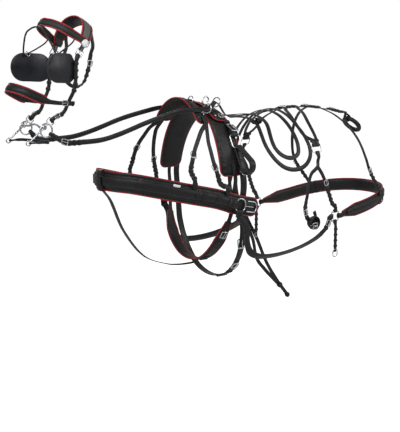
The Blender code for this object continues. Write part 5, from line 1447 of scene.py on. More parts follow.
# False martingale: a loop round the collar at the chest, and a strap back to the girth
MARTINGALE_SLACK = 0.0036
MARTINGALE_SHARES = ((-0.300, -0.500), (-0.262, -0.700), (-0.200, -0.880), (-0.120, -0.960),
                     (-0.070, -0.975), (-0.035, -0.975))
MARTINGALE_TOP_FACE = Vector((-0.6, 0.0, -0.8))
MARTINGALE_FACE = Vector((-0.5, 0.0, -0.86))
chest, chest_face, _ = at_length(collar_path, COLLAR_LENGTH / 2)
slack = MARTINGALE_SLACK + STRAP_THICKNESS / 2
inner = COLLAR_THICKNESS / 2 + slack
outer = STRAP_OUT + HEAVY_THICKNESS / 2 + slack
tall = COLLAR_HEIGHT / 2 + slack
loop = []
for u, v in frame_loop(2 * tall, inner + outer, inner * 0.8, 2):
    spot = chest + UP * u + chest_face * (v + (outer - inner) / 2)
    loop.append((spot, (UP * (u / tall) + chest_face * (v / outer)).normalized()))
tail = [(chest - UP * tall, MARTINGALE_TOP_FACE)]
tail += [(place((x_share, 0.0, z_share)), MARTINGALE_FACE) for x_share, z_share in
         MARTINGALE_SHARES[:-2]]
tail += [(place((x_share, 0.0, z_share)), -UP) for x_share, z_share in MARTINGALE_SHARES[-2:]]
strap("false_martingale", eased(tail, 15), MARTINGALE_WIDTH * 0.9, STRAP_THICKNESS,
      extra=[swept(loop, MARTINGALE_WIDTH, STRAP_THICKNESS, True)])

# Rear: the backstrap along the spine, turned round the crupper's front
CRUPPER_FRONT_SHARES = (0.545, 0.0, -0.100)
CRUPPER_BACK_SHARES = (0.585, 0.0, -0.190)
CRUPPER_HALF_WIDTH = 0.045
CRUPPER_SAG = 0.0028
BACKSTRAP_SHARES = (0.030, 0.090, 0.160, 0.230, 0.300, 0.370, 0.430, 0.480, 0.510)
CRUPPER_FOLD_SHARES = (0.55, 1.0)
crupper_front, crupper_back = place(CRUPPER_FRONT_SHARES), place(CRUPPER_BACK_SHARES)
crupper_middle = (crupper_front + crupper_back) / 2
crupper_reach = (crupper_back - crupper_front) / 2
crupper_face = crupper_reach.cross(-OUT).normalized()
if crupper_face.z < 0:
    crupper_face.negate()
ring = [(crupper_middle + spoke, crupper_face)
        for spoke in around(20, -crupper_reach, OUT * -CRUPPER_HALF_WIDTH)]
mesh = swept(ring, 2 * CRUPPER_RADIUS, 2 * CRUPPER_RADIUS, True, round_ring, PADDING)
stand_in("crupper", "padding", [crumpled(mesh, PAD_CRUMPLE, CRUMPLE_SIZE)])
lead, turn = eye(crupper_front, crupper_reach.normalized(), crupper_face, STRAP_THICKNESS,
                 CRUPPER_RADIUS + CRUPPER_SAG, 1.5)
spine = on_body([(share, 0) for share in BACKSTRAP_SHARES], STRAP_THICKNESS / 2)
backstrap_path = eased(spine + lead + turn[:1], 26) + turn[1:]
folded = len(turn) + 1
scales = [FULL] * (len(backstrap_path) - folded) + [CRUPPER_FOLD_SHARES] * folded
strap("backstrap", backstrap_path, BACKSTRAP_WIDTH, STRAP_THICKNESS, scales)

# Loin straps: two straps over the back that meet at a ring on each hip
HIP_SHARE = 0.268
HIP_DEGREES = 65
HIP_LINK_LENGTH = 0.036
HIP_LINK_WIDTH = 2 * LOIN_WIDTH + 2 * (LINK_CORNER + SIDE_CLEARANCE)
HIP_LIFT = 0.010
LOIN_SHARES = (
    ("front_loin_strap", -1.0, ((0.246, 50), (0.241, 36), (0.250, 22), (0.264, 10)), 0.272),
    ("rear_loin_strap", 1.0, ((0.282, 50), (0.286, 36), (0.300, 22), (0.312, 10)), 0.318),
)
CROSS_LIFT = STRAP_THICKNESS * 1.5 + LAYER_GAP + 2 * GAP
CROSS_DEGREES = 5.5
hip_point = body_point(HIP_SHARE, HIP_DEGREES)
hip_face = body_normal(HIP_SHARE, HIP_DEGREES)
hip_down = (body_point(HIP_SHARE, HIP_DEGREES + 3) - hip_point).normalized()
hip_centre = hip_point + hip_face * HIP_LIFT
hip_across = hip_face.cross(hip_down).normalized()
if hip_across.x < 0:
    hip_across.negate()
link("_hip_ring", hip_centre, hip_down, hip_face, HIP_LINK_LENGTH, HIP_LINK_WIDTH, BAR_RADIUS)


def crossing(x_share):
    """The near half of a strap's hump over the backstrap."""
    return on_body([(x_share, CROSS_DEGREES * share) for share in (1, 0.5, 0)], CROSS_LIFT)


for name, along_side, track, x_share in LOIN_SHARES:
    bar = hip_centre - hip_down * (HIP_LINK_LENGTH / 2)
    bar += hip_across * (along_side * (LOIN_WIDTH / 2 + LAYER_GAP))
    lead, turn = eye(bar, hip_down, hip_face, STRAP_THICKNESS, BAR_RADIUS, 0.7)
    skin = on_body(track, STRAP_THICKNESS / 2)
    half = turn[::-1] + eased(turn[:1] + lead + skin, 11)[1:] + crossing(x_share)
    strap(name, full_round(half), LOIN_WIDTH, STRAP_THICKNESS)

# Breeching: a padded band behind the haunches between two square rings
BREECHING_SHARES = (
    (0.362, -0.515, -0.712), (0.400, -0.510, -0.700), (0.450, -0.500, -0.685),
    (0.500, -0.478, -0.665), (0.550, -0.425, -0.645), (0.600, -0.310, -0.628),
    (0.630, -0.160, -0.620), (0.638, 0.0, -0.618),
)
RING_SHARES = (0.330, -0.517, -0.720)
RING_SIDE = 0.052
BREECHING_COUNT = 29
BREECHING_END_WIDTH = 0.026
BREECHING_FOLD = 0.085
ring_centre = place(RING_SHARES)
breeching_path = level_path(BREECHING_SHARES, -1.0, BREECHING_COUNT)
lead, turn = eye(ring_centre + REARWARD * (RING_SIDE / 2), -REARWARD, OUT, HEAVY_THICKNESS,
                 HEAVY_BAR_RADIUS)
near_end = turn[::-1] + lead
narrow = (BREECHING_END_WIDTH / BREECHING_HEIGHT, HEAVY_THICKNESS / BREECHING_THICKNESS)
ends = [narrow] * len(near_end)
middle = [between(narrow, FULL, clamped(min(k, BREECHING_COUNT - 1 - k) / 2))
          for k in range(BREECHING_COUNT)]
pad("breeching", near_end + breeching_path + mirrored(near_end)[::-1], BREECHING_HEIGHT,
    BREECHING_THICKNESS, ends + middle + ends, fold=BREECHING_FOLD, lane=0.018,
    swell=0.0030)
link("_breeching_ring", ring_centre, REARWARD, OUT, RING_SIDE, RING_SIDE, HEAVY_BAR_RADIUS)

# Hip forks: from each hip ring, one leg to the trace and one to the breeching ring
FORK_SKIN_SHARES = ((0.268, 74), (0.264, 80))
BEARER_SHARES = (
    (0.238, -0.500, -0.420), (0.220, -0.517, -0.560), (0.212, -0.520, -0.655),
    (0.232, -0.522, -0.735), (0.252, -0.522, -0.715), (0.246, -0.522, -0.665),
)
UPTUG_LEG_SHARES = ((0.284, -0.505, -0.440), (0.304, -0.515, -0.560), (0.320, -0.517, -0.640))
lead, turn = eye(hip_centre + hip_down * (HIP_LINK_LENGTH / 2), -hip_down, hip_face,
                 STRAP_THICKNESS, BAR_RADIUS, 0.7)
leg_lead, leg_turn = eye(ring_centre + UP * (RING_SIDE / 2), -UP, OUT, STRAP_THICKNESS,
                         HEAVY_BAR_RADIUS, 0.7)
skin = on_body(FORK_SKIN_SHARES, STRAP_THICKNESS)
fork = turn[::-1] + eased(turn[:1] + lead + skin + beside_body(BEARER_SHARES), 20)[1:]
leg = skin[1:] + beside_body(UPTUG_LEG_SHARES) + leg_lead + leg_turn[:1]
leg = eased(leg, 12) + leg_turn[1:]
forked("_hip_fork", fork, "_hip_leg", leg, LOIN_WIDTH)

# Rear hip strap: over the croup and down onto the breeching's outer face
CROUP_SHARES = ((0.482, 94), (0.466, 82), (0.448, 62), (0.430, 44), (0.412, 26), (0.400, 12))
CROUP_SHARE = 0.393
CROUP_REACH_SHARE = 0.245
CROUP_END_SHARES = (-0.2, 0.45)
point, face, _ = at_length(breeching_path, path_length(breeching_path) * CROUP_REACH_SHARE)
point = point + face * (BREECHING_THICKNESS / 2 + LAYER_GAP + STRAP_THICKNESS / 2)
half = [(point + UP * (BREECHING_HEIGHT * share), face) for share in CROUP_END_SHARES]
half = eased(half + on_body(CROUP_SHARES, STRAP_THICKNESS * 1.2), 18) + crossing(CROUP_SHARE)
strap("rear_hip_strap", full_round(half), CROUP_WIDTH, STRAP_THICKNESS)

# Holdbacks: short straps that hang from the breeching rings
lead, turn = eye(ring_centre - UP * (RING_SIDE / 2), UP, OUT, STRAP_THICKNESS, HEAVY_BAR_RADIUS,
                 0.7)
hang = turn[::-1] + [(lead[0][0] - UP * (HOLDBACK_LENGTH * k / 6), OUT) for k in range(7)]
straps("_holdback", hang, HOLDBACK_WIDTH, STRAP_THICKNESS)

# Traces: from the collar's ring, slack under the flank, to the breeching ring
TRACE_SHARES = (
    ((0.000, -0.530, -0.700), (-1.0, 0.0)), ((0.004, -0.528, -0.800), (-1.0, -0.15)),
    ((0.020, -0.520, -0.872), (-0.85, -0.50)), ((0.067, -0.515, -0.910), (-0.75, -0.66)),
    ((0.161, -0.515, -0.905), (-0.75, -0.66)), ((0.245, -0.517, -0.860), (-0.85, -0.50)),
    ((0.290, -0.519, -0.800), (-0.96, -0.2)),
)
TRACE_END_SHARES = (0.026 / TRACE_WIDTH, 1.0)
link_up = trace_face.cross(forward).normalized()
if link_up.z < 0:
    link_up.negate()
lead, turn = eye(trace_centre - link_up * (TRACE_LINK_WIDTH / 2), link_up, trace_face,
                 HEAVY_THICKNESS, HEAVY_BAR_RADIUS)
end_lead, end_turn = eye(ring_centre - REARWARD * (RING_SIDE / 2), REARWARD, OUT,
                         HEAVY_THICKNESS, HEAVY_BAR_RADIUS, 0.6)
sag = [(place(shares), Vector((0.0, *face)).normalized()) for shares, face in TRACE_SHARES]
trace = turn[::-1] + lead + eased(lead + sag + end_lead, 26)[1:] + end_turn
slim = len(end_turn) + 3
scales = [FULL] * (len(trace) - slim) + [TRACE_END_SHARES] * slim
straps("_trace", trace, TRACE_WIDTH, HEAVY_THICKNESS, scales, stitched=True)

# Bridle: the crown piece, with a throatlash billet on each end
CHEEK_LINK_LENGTH = 0.030
CHEEK_LINK_WIDTH = BRIDLE_WIDTH + 2 * (HEAD_CORNER + SIDE_CLEARANCE)
CHEEK_BUCKLE_SHARES = (0.090, -0.500, 0.567)
CROWN_SHARES = ((-0.030, -0.514, 0.545, 4), (-0.100, -0.470, 0.530, 28),
                (-0.150, -0.340, 0.520, 58), (-0.176, -0.170, 0.520, 78), (-0.182, 0.0, 0.520, 90))
CROWN_FOLD_SHARES = (BRIDLE_WIDTH / CROWN_WIDTH, STRAP_THICKNESS / CROWN_THICKNESS)
CROWN_TOP_SHARES = (1.45, 1.0)
CROWN_FOLD = 0.062
BILLET_SHARES = ((-0.095, -0.474, 0.600, 90), (-0.050, -0.500, 0.665, 90),
                 (-0.010, -0.508, 0.724, 90), (0.040, -0.505, 0.742, 90),
                 (0.110, -0.492, 0.790, 92))
cheek_centre = head(*CHEEK_BUCKLE_SHARES)
lead, turn = eye(cheek_centre - FACE_DOWN * (CHEEK_LINK_LENGTH / 2), FACE_DOWN, OUT,
                 STRAP_THICKNESS, BAR_RADIUS, 0.7)
crown_path = full_round(turn[::-1] + lead + eased(over_poll(CROWN_SHARES), 8))
scales = [CROWN_FOLD_SHARES] * (len(turn) + 1)
scales += [between(FULL, CROWN_TOP_SHARES, clamped(k / 6)) for k in range(8)]
billet_path = eased(round_head(BILLET_SHARES), 9)
billets = [swept(mirrored(billet_path, side), BRIDLE_WIDTH, STRAP_THICKNESS) for _, side in SIDES]
pad("crown_piece", crown_path, CROWN_WIDTH, CROWN_THICKNESS, scales + scales[:-1][::-1],
    faced=CROWN_FACING, extra=billets, fold=CROWN_FOLD)
link("_cheek_buckle", cheek_centre, FACE_DOWN, OUT, CHEEK_LINK_LENGTH, CHEEK_LINK_WIDTH,
     BAR_RADIUS, HEAD_CORNER)

# Browband: padded over the forehead, its thin ends looped round the crown piece
BROWBAND_SHARES = ((0.0, -0.505, 0.350, 86), (0.0, -0.440, 0.190, 66), (0.0, -0.270, 0.050, 30),
                   (0.0, 0.0, -0.010, 0))
LOOP_PLACE_SHARES = (0.0, -0.518, 0.545)
LOOP_SHARES = (0.80, 0.30)
BROW_FOLD = 0.075
loop_radius = CROWN_THICKNESS / 2 + GAP + BROWBAND_THICKNESS * LOOP_SHARES[1] / 2
loop_middle = head(*LOOP_PLACE_SHARES)
loop_path = [(loop_middle - OUT * loop_radius - FACE_BACK * (CROWN_WIDTH * 0.30), -OUT)]
for k in range(5):
    angle = math.pi * k / 4
    radial = FACE_BACK * math.sin(angle) - OUT * math.cos(angle)
    loop_path.append((loop_middle + FACE_BACK * (CROWN_WIDTH / 2) + radial * loop_radius, radial))
loop_path.append((loop_middle + OUT * loop_radius - FACE_BACK * (CROWN_WIDTH * 0.52), OUT))
scales = [LOOP_SHARES] * len(loop_path) + [(0.95, 0.80)] + [FULL] * 7
pad("browband", full_round(loop_path + eased(round_head(BROWBAND_SHARES), 8)), BROWBAND_WIDTH,
    BROWBAND_THICKNESS, scales + scales[:-1][::-1], faced=FACING, fold=BROW_FOLD)

# Noseband: padded over the nose, a thin strap under the jaw
NOSE_SHARES = (
    (0.558, 0.0, -0.020, 0), (0.555, -0.210, 0.040, 22), (0.548, -0.320, 0.160, 58),
    (0.535, -0.385, 0.390, 84), (0.515, -0.425, 0.560, 88), (0.480, -0.452, 0.700, 90),
    (0.450, -0.450, 0.800, 98), (0.430, -0.370, 0.900, 130), (0.420, -0.190, 0.960, 165),
    (0.418, 0.0, 0.975, 180),
)
JAW_SHARES = (0.50, 0.38)
JAW_DEPTH_SHARE = 0.55
JAW_RUN_SHARE = 0.15
NOSE_PIPED_HALF = 0.185
nose = round_head(NOSE_SHARES)
nose_path = eased(nose + mirrored(nose[1:-1])[::-1], 36, closed=True)
depths = [(point - place(BROW_SHARES)).dot(FACE_BACK) / HEAD_DEPTH for point, _ in nose_path]
scales = [between(JAW_SHARES, FULL, clamped((JAW_DEPTH_SHARE - depth) / JAW_RUN_SHARE))
          for depth in depths]
pad("noseband", nose_path, NOSEBAND_WIDTH, NOSEBAND_THICKNESS, scales, closed=True,
    piped_half=NOSE_PIPED_HALF)

# Throatlash: from billet to billet under the throat
THROAT_SHARES = (
    (0.050, -0.532, 0.742, 90), (0.110, -0.515, 0.790, 92), (0.170, -0.480, 0.835, 104),
    (0.230, -0.370, 0.900, 128), (0.262, -0.190, 0.950, 160), (0.270, 0.0, 0.965, 180),
)
strap("throatlash", eased(full_round(round_head(THROAT_SHARES)), 27), BRIDLE_WIDTH,
      STRAP_THICKNESS)

# Bit: a mouthpiece with a low port through the bosses of two lever cheeks
CHEEK_TOP_SHARES = (0.6266, -0.4091, 0.6850)
SHANK_FOOT_SHARES = (0.8532, -0.4091, 0.5200)
BIT_SLOT_LENGTH = 0.024
BIT_SLOT_WIDTH = 0.034
BOSS_RADIUS = 0.0110
BOSS_LENGTH = 0.0100
BOSS_REACH_SHARE = 0.36
BOSS_ROWS = ((-0.5, 0.86), (-0.4, 1.0), (0.4, 1.0), (0.5, 0.86), (0.62, 0.62), (0.66, 0.01))
RING_DROP = 0.0160
CURB_RING_RADIUS = 0.0110
CURB_BAR = 0.0030
BIT_HEAD_LENGTH = 0.0030
BIT_HEAD_SHARE = 1.8
PORT_SHARE = 1.15
PORT_RISE = 0.012
top = head(*CHEEK_TOP_SHARES)
foot = head(*SHANK_FOOT_SHARES)
shank = (foot - top).normalized()
shank_side = OUT.cross(shank).normalized()
if shank_side.x < 0:
    shank_side.negate()
boss = top + shank * ((foot - top).length * BOSS_REACH_SHARE)
ring_middle = boss + shank_side * RING_DROP
curb_ring = foot + shank * CURB_RING_RADIUS


def hoop(centre, radius, bar, steps, axis):
    """A round ring in the plane square to its axis."""
    spokes = around(steps, shank, axis.cross(shank))
    return tube([(centre + spoke * radius, axis) for spoke in spokes], bar, 14, True)


for label, side in SIDES:
    axis = flip(OUT, side)
    ends = flip(top + shank * (BIT_SLOT_LENGTH * 0.9), side), flip(foot, side)
    slot_centre = flip(top + shank * (BIT_SLOT_LENGTH / 2), side)
    hub_rows = [(BOSS_LENGTH * height, BOSS_RADIUS * share) for height, share in BOSS_ROWS]
    stand_in(label + "_bit_cheek", "chrome", [
        tube([(ends[0].lerp(ends[1], k / 8), axis) for k in range(9)], BIT_CHEEK_BAR, 14),
        ring_mesh(slot_centre, shank, axis, BIT_SLOT_LENGTH, BIT_SLOT_WIDTH, BAR_RADIUS,
                  HEAD_CORNER),
        hoop(flip(ring_middle, side), BIT_RING_RADIUS, BIT_CHEEK_BAR, 48, axis),
        hoop(flip(curb_ring, side), CURB_RING_RADIUS, CURB_BAR, 30, axis),
        turned(flip(boss, side), axis, shank, hub_rows, 24),
    ])

# The mouthpiece's rows: distance to the near side, scale, rise towards the poll
reach = -boss.y + BOSS_LENGTH / 2 + GAP
inside = reach - BOSS_LENGTH - 4 * GAP
mouth = [(reach + BIT_HEAD_LENGTH, BIT_HEAD_SHARE, 0.0), (reach, BIT_HEAD_SHARE, 0.0),
         (reach, 1.0, 0.0), (inside, 1.0, 0.0), (inside * 0.55, PORT_SHARE, 0.0),
         (inside * 0.30, PORT_SHARE, PORT_RISE * 0.7), (0.0, PORT_SHARE, PORT_RISE)]
mouth += [(-across, scale, rise) for across, scale, rise in mouth[:-1]][::-1]
mouth_path = [(Vector((boss.x, -across, boss.z)) + POLL * rise, FACE_BACK)
              for across, _, rise in mouth]
rings = []
for (point, across, up, _), (_, scale, _) in zip(frames(mouth_path), mouth):
    ring = round_ring(2 * BIT_BAR * scale, 2 * BIT_BAR * scale)
    rings.append([point + across * a + up * b for a, b, _ in ring])
stand_in("bit_mouthpiece", "chrome", [skinned(rings, [0.0] * RING_SIDES, CHROME)])

# Cheekpieces: from the cheek buckle, over the blinker's rear edge, to the slot of the bit
CHEEKPIECE_SHARES = ((0.333, -0.505, 0.750, 90), (0.450, -0.4825, 0.772, 90),
                     (0.540, -0.462, 0.782, 90))
lead, turn = eye(cheek_centre + FACE_DOWN * (CHEEK_LINK_LENGTH / 2), -FACE_DOWN, OUT,
                 STRAP_THICKNESS, BAR_RADIUS, 0.7)
low_lead, low_turn = eye(top, shank, OUT, STRAP_THICKNESS, BAR_RADIUS, 0.7)
path = turn[:1] + lead + round_head(CHEEKPIECE_SHARES) + low_lead + low_turn[:1]
path = turn[::-1] + eased(path, 14)[1:] + low_turn[1:]
straps("_cheekpiece", path, BRIDLE_WIDTH, STRAP_THICKNESS)

# Blinkers: stiff plates, their rear edges under the cheekpieces and their front edges flared
BLINKER_SHARES = (
    (0.2030, -0.4780, 0.6400, 90), (0.2139, -0.4760, 0.6078, 90), (0.2297, -0.5230, 0.5530, 90),
    (0.2572, -0.6136, 0.4498, 90), (0.2890, -0.6727, 0.3324, 90), (0.3222, -0.7090, 0.2168, 90),
    (0.3511, -0.7270, 0.1155, 90),
)
BLINKER_CORNER = 0.061
BLINKER_COUNT = 10
BLINKER_SEAM_INSETS = (SEAM_INSET, SEAM_INSET * 2.4)
blinker_path = eased(round_head(BLINKER_SHARES), BLINKER_COUNT)
for label, side in SIDES:
    route = Route(mirrored(blinker_path, side), BLINKER_HEIGHT, BLINKER_THICKNESS)
    rows = [row[1:] for row in corner_rows(route, BLINKER_CORNER)]
    stand_in(label + "_blinker", "leather", [carried(rows, strap_outline, BLINKER)])
    for inset in BLINKER_SEAM_INSETS:
        seams["harness"].append((outline_of(route, BLINKER_CORNER, inset, 0.5), True))

# Blinker stay: a rolled strap under the browband, forked to each blinker's top
STAY_SHARES = (
    (0.2328, -0.6580, 0.2003, 90), (0.1755, -0.5680, 0.0967, 80), (0.1015, -0.3640, -0.0330, 50),
    (0.0650, -0.1800, -0.0500, 20), (0.0560, 0.0, -0.0500, 0),
)
STAY_LEG_SHARES = (
    (0.0160, -0.5150, 0.3900, 88), (0.0590, -0.5300, 0.3800, 90), (0.1300, -0.5600, 0.3100, 90),
    (0.1900, -0.6000, 0.2400, 90), (0.2262, -0.6570, 0.2050, 90),
)
STAY_TOP_SHARES = ((0.0600, 0.0, -0.0500, 0), (0.0480, 0.0, -0.0320, 0), (0.0345, 0.0, -0.0110, 0))
STAY_LEG_SHARE = 0.85
stay_leg = eased(round_head(STAY_LEG_SHARES), 9)
stay_lines = [eased(full_round(round_head(STAY_SHARES)), 23)]
stay_lines += [mirrored(stay_leg, side) for _, side in SIDES]
stay_lines.append([(point, OUT) for point, _ in round_head(STAY_TOP_SHARES)])
stay_meshes = []
for k, line in enumerate(stay_lines):
    wide = 2 * STAY_RADIUS * (STAY_LEG_SHARE if k else 1.0)
    stay_meshes.append(swept(line, wide, wide, outline=round_ring))
stand_in("blinker_stay", "leather", stay_meshes)

# Curb strap: from one lower ring, behind the chin, to the other
CURB_SHARES = (
    ((0.8086, -0.3995, 0.7076), (0.0, -1.0)), ((0.7825, -0.3218, 0.8242), (0.70, -0.72)),
    ((0.7651, -0.1691, 0.8966), (0.94, -0.35)), ((0.7611, 0.0, 0.9151), (1.0, 0.0)),
)
CURB_FOLD_SHARES = (0.55, 1.0)
CURB_SLACK = 0.0014
CURB_COUNT = 19


def level_way(target, start):
    """The level direction from one place to another."""
    way = target - start
    way.y = 0
    return way.normalized()


way = level_way(curb_ring, head(*CURB_SHARES[0][0]))
lead, turn = eye(curb_ring - way * CURB_RING_RADIUS, way, OUT, STRAP_THICKNESS,
                 CURB_BAR + CURB_SLACK, 0.6)
curb_half = turn[:1] + lead
curb_half += [(head(*shares), Vector((*face, 0.0)).normalized()) for shares, face in CURB_SHARES]
curb_middle = eased(full_round(curb_half), CURB_COUNT)
curb_path = turn[::-1] + curb_middle[1:-1] + mirrored(turn)
ends = [CURB_FOLD_SHARES] * (len(turn) + 1)
strap("curb_strap", curb_path, CURB_WIDTH, STRAP_THICKNESS,
      ends + [FULL] * (CURB_COUNT - 4) + ends)

# Reins: from the bit's rings through the terrets, over the back in loops and down the far side
REIN_FRONT_SHARES = (
    (-0.4685, -0.1680, -0.1050), (-0.4500, -0.1750, -0.1220), (-0.4150, -0.1900, -0.1230),
    (-0.3625, -0.2000, -0.1175), (-0.3100, -0.2000, -0.0900), (-0.2200, -0.2000, -0.0250),
    (-0.1250, -0.1900, 0.0240),
)
# Over the back: along the body, degrees, and how many straps it lies over
NEAR_BACK_SHARES = (
    (0.045, 13, 0), (0.085, 12, 0), (0.112, 17, 0), (0.119, 26, 0), (0.110, 40, 0),
    (0.108, 52, 0), (0.120, 62, 0), (0.145, 71, 0), (0.180, 76, 0), (0.216, 76, 0.5),
    (0.236, 70, 2.0), (0.240, 62, 3.0), (0.239, 50, 1.5), (0.236, 38, 0), (0.235, 26, 0),
    (0.235, 12, 0), (0.235, 0, 0), (0.234, -12, 0), (0.232, -30, 0), (0.232, -50, 0),
    (0.236, -68, 0.5),
)
FAR_BACK_SHARES = (
    (0.045, -13, 0), (0.085, -12, 0), (0.118, -7, 0), (0.140, 2, 0), (0.152, 14, 0),
    (0.150, 28, 0), (0.137, 42, 0), (0.134, 54, 0), (0.150, 62, 0), (0.176, 66, 0),
    (0.200, 65, 0), (0.210, 56, 0), (0.211, 42, 0), (0.211, 26, 0), (0.211, 12, 0),
    (0.211, 0, 0), (0.210, -12, 0), (0.208, -30, 0), (0.206, -50, 0), (0.208, -68, 0),
)
NEAR_FALL_SHARES = (
    (0.262, 0.562, -0.640), (0.310, 0.568, -0.860), (0.343, 0.568, -0.993),
    (0.386, 0.568, -1.199), (0.434, 0.566, -1.366), (0.478, 0.562, -1.495),
)
FAR_FALL_SHARES = (
    (0.236, 0.545, -0.640), (0.290, 0.548, -0.860), (0.322, 0.548, -0.993),
    (0.340, 0.548, -1.151), (0.374, 0.548, -1.249), (0.421, 0.546, -1.360),
    (0.440, 0.546, -1.400),
)
REIN_LIFT = 0.0082
REIN_COUNT = 88
REIN_FOLD_SHARES = (0.58, 1.0)
REIN_SLACK = 0.0016
way = level_way(ring_middle, place(REIN_FRONT_SHARES[0]))
lead, turn = eye(ring_middle - way * BIT_RING_RADIUS, way, OUT, STRAP_THICKNESS,
                 BIT_CHEEK_BAR + REIN_SLACK)
for (label, side), track, fall in zip(SIDES, (NEAR_BACK_SHARES, FAR_BACK_SHARES),
                                      (NEAR_FALL_SHARES, FAR_FALL_SHARES)):
    line = mirrored(turn[:1] + lead + beside_body(REIN_FRONT_SHARES), side)
    line += [terret_centres[label + "_neck_terret"], terret_centres[label + "_saddle_terret"]]
    for x_share, degrees, over_share in track:
        line += on_body([(x_share, degrees)], REIN_LIFT + STRAP_THICKNESS * over_share)
    line += [(place(shares), -OUT) for shares in fall]
    path = mirrored(turn[::-1], side) + eased(line, REIN_COUNT)[1:]
    scales = [REIN_FOLD_SHARES] * (len(turn) + 1) + [FULL] * (REIN_COUNT - 2)
    strap(label + "_rein", path, REIN_WIDTH, STRAP_THICKNESS, scales)

# Billets. Each row: zone, strap, width, start, stop, keepers, buckle, and what is its own.
# A reach below zero counts back from the strap's end
REIN_BILLET_WIDTH = REIN_WIDTH * 0.82
UPTUG_BILLET_WIDTH = UPTUG_WIDTH * 0.84
COLLAR_KEEPER_RUN = 0.030
UPTUG_LAYER = {"tips": (False, False), "deep": 0.0042}
HIP_BUCKLE = {"bar": 0.0022, "length": 0.028}
BELLY_BUCKLE = {"run": 0.013, "bar": 0.0026, "length": 0.034, "punched": 2}
SPINE_BUCKLE = {**BELLY_BUCKLE, "deep": 0.0060}
PAIR_BILLETS = (
    ("bridle", "_cheekpiece", 0.016, 0.026, 0.215, (0.075, 0.105, 0.135, 0.165, 0.195), None,
     {"punched": 2}),
    ("bridle", "_cheekpiece", 0.014, 0.295, 0.385, (0.318, 0.372), 0.340, {}),
    ("reins", "_rein", REIN_BILLET_WIDTH, 0.060, 0.225, (0.085, 0.155, 0.180, 0.205), 0.130,
     {"run": 0.011, "length": 0.030}),
    ("uptugs", "_uptugs", UPTUG_BILLET_WIDTH, 0.270, -0.006,
     (0.345, 0.366, 0.387, 0.408, 0.436), None, UPTUG_LAYER),
    ("uptugs", "_rear_uptug", UPTUG_BILLET_WIDTH, 0.290, -0.006,
     (0.352, 0.374, 0.396, 0.418, 0.446), None, UPTUG_LAYER),
    ("hips", "_hip_leg", 0.019, 0.085, 0.275, (0.135, 0.160, 0.185, 0.210, 0.235, 0.258), 0.107,
     HIP_BUCKLE),
    ("hips", "_hip_fork", 0.019, 0.330, 0.440, (0.360, 0.420), 0.388, HIP_BUCKLE),
    ("traces", "_trace", 0.024, -0.165, -0.045, (-0.070, -0.125), -0.098,
     {"bar": 0.0024, "length": 0.030, "tips": (True, False)}),
)
END_BILLETS = (
    ("bridle", "throatlash", 0.016, 0.030, 0.165, (0.072, 0.099, 0.128), 0.040,
     {"length": 0.026, "punched": 2}),
    ("collar", "breastcollar_strap", 0.038, 0.058, 0.300, (0.084, 0.167, 0.250), None,
     {"run": COLLAR_KEEPER_RUN, "punched": 2, "puff": 0.0012, "deep": 0.0060}),
    ("saddle", "backband", 0.034, 0.060, 0.168, (0.118, 0.146), 0.090,
     {"run": 0.014, "bar": 0.0030, "length": 0.056, "punched": 2}),
    ("belly", "girth", 0.028, 0.300, 0.430, (0.400, 0.418), 0.372, BELLY_BUCKLE),
    ("belly", "girth", 0.028, 0.535, 0.600, (0.560,), None, BELLY_BUCKLE),
    ("croup", "rear_hip_strap", 0.017, 0.060, 0.245, (0.100, 0.130, 0.165, 0.195), 0.222,
     {"bar": 0.0021, "length": 0.026, "tips": (True, False)}),
)
SINGLE_BILLETS = (
    ("bridle", "noseband", 0.016, 0.245, 0.385, (0.300, 0.330), 0.277,
     {"run": 0.010, "length": 0.026, "punched": 3}),
    ("belly", "belly_band", 0.032, 0.500, 0.700, (0.560, 0.590, 0.640, 0.672), 0.530,
     BELLY_BUCKLE),
    ("backstrap", "backstrap", 0.028, 0.470, 0.610, (0.520, 0.545, 0.580), 0.492, SPINE_BUCKLE),
    ("backstrap", "backstrap", 0.028, 0.650, 0.800, (0.705, 0.735, 0.770), 0.676, SPINE_BUCKLE),
    ("backstrap", "backstrap", 0.028, 0.865, 1.010, (0.915, 0.940, 0.975), 0.888, SPINE_BUCKLE),
)
for zone, name, *row, own in PAIR_BILLETS:
    for label, _ in SIDES:
        billet(zone, routes[label + name], *row, **own)
for zone, name, width, start, stop, keepers, buckle, own in END_BILLETS:
    billet(zone, routes[name], width, start, stop, keepers, buckle, **own)
    mirror = {**own, "tips": own.get("tips", (False, True))[::-1]}
    billet(zone, routes[name], width, -stop, -start, [-reach for reach in keepers],
           buckle and -buckle, **mirror)
for zone, name, *row, own in SINGLE_BILLETS:
    billet(zone, routes[name], *row, **own)

# Bridle: the stay's bars, the cheek buckles' tongues, the noseband's studs
STAY_BAR_SIZES = (0.026, 0.013, 0.0018, 0.004)
NOSE_STUD_REACH = 0.366
NOSE_STUD_RADIUS = 0.0055
for _, side in SIDES:
    outside = flip(OUT, side)
    add("bridle", ring_mesh(flip(stay_leg[-2][0], side), FACE_BACK, outside, *STAY_BAR_SIZES),
        tongue_mesh(flip(cheek_centre, side), FACE_DOWN, outside, CHEEK_LINK_LENGTH, BAR_RADIUS))
    nose = routes["noseband"]
    point, _, up, along, _, thick = nose.at(counted(nose, side)(NOSE_STUD_REACH))
    add("bridle", stud(point + up * (thick / 2 + LAYER_THICKNESS), up, along, NOSE_STUD_RADIUS))

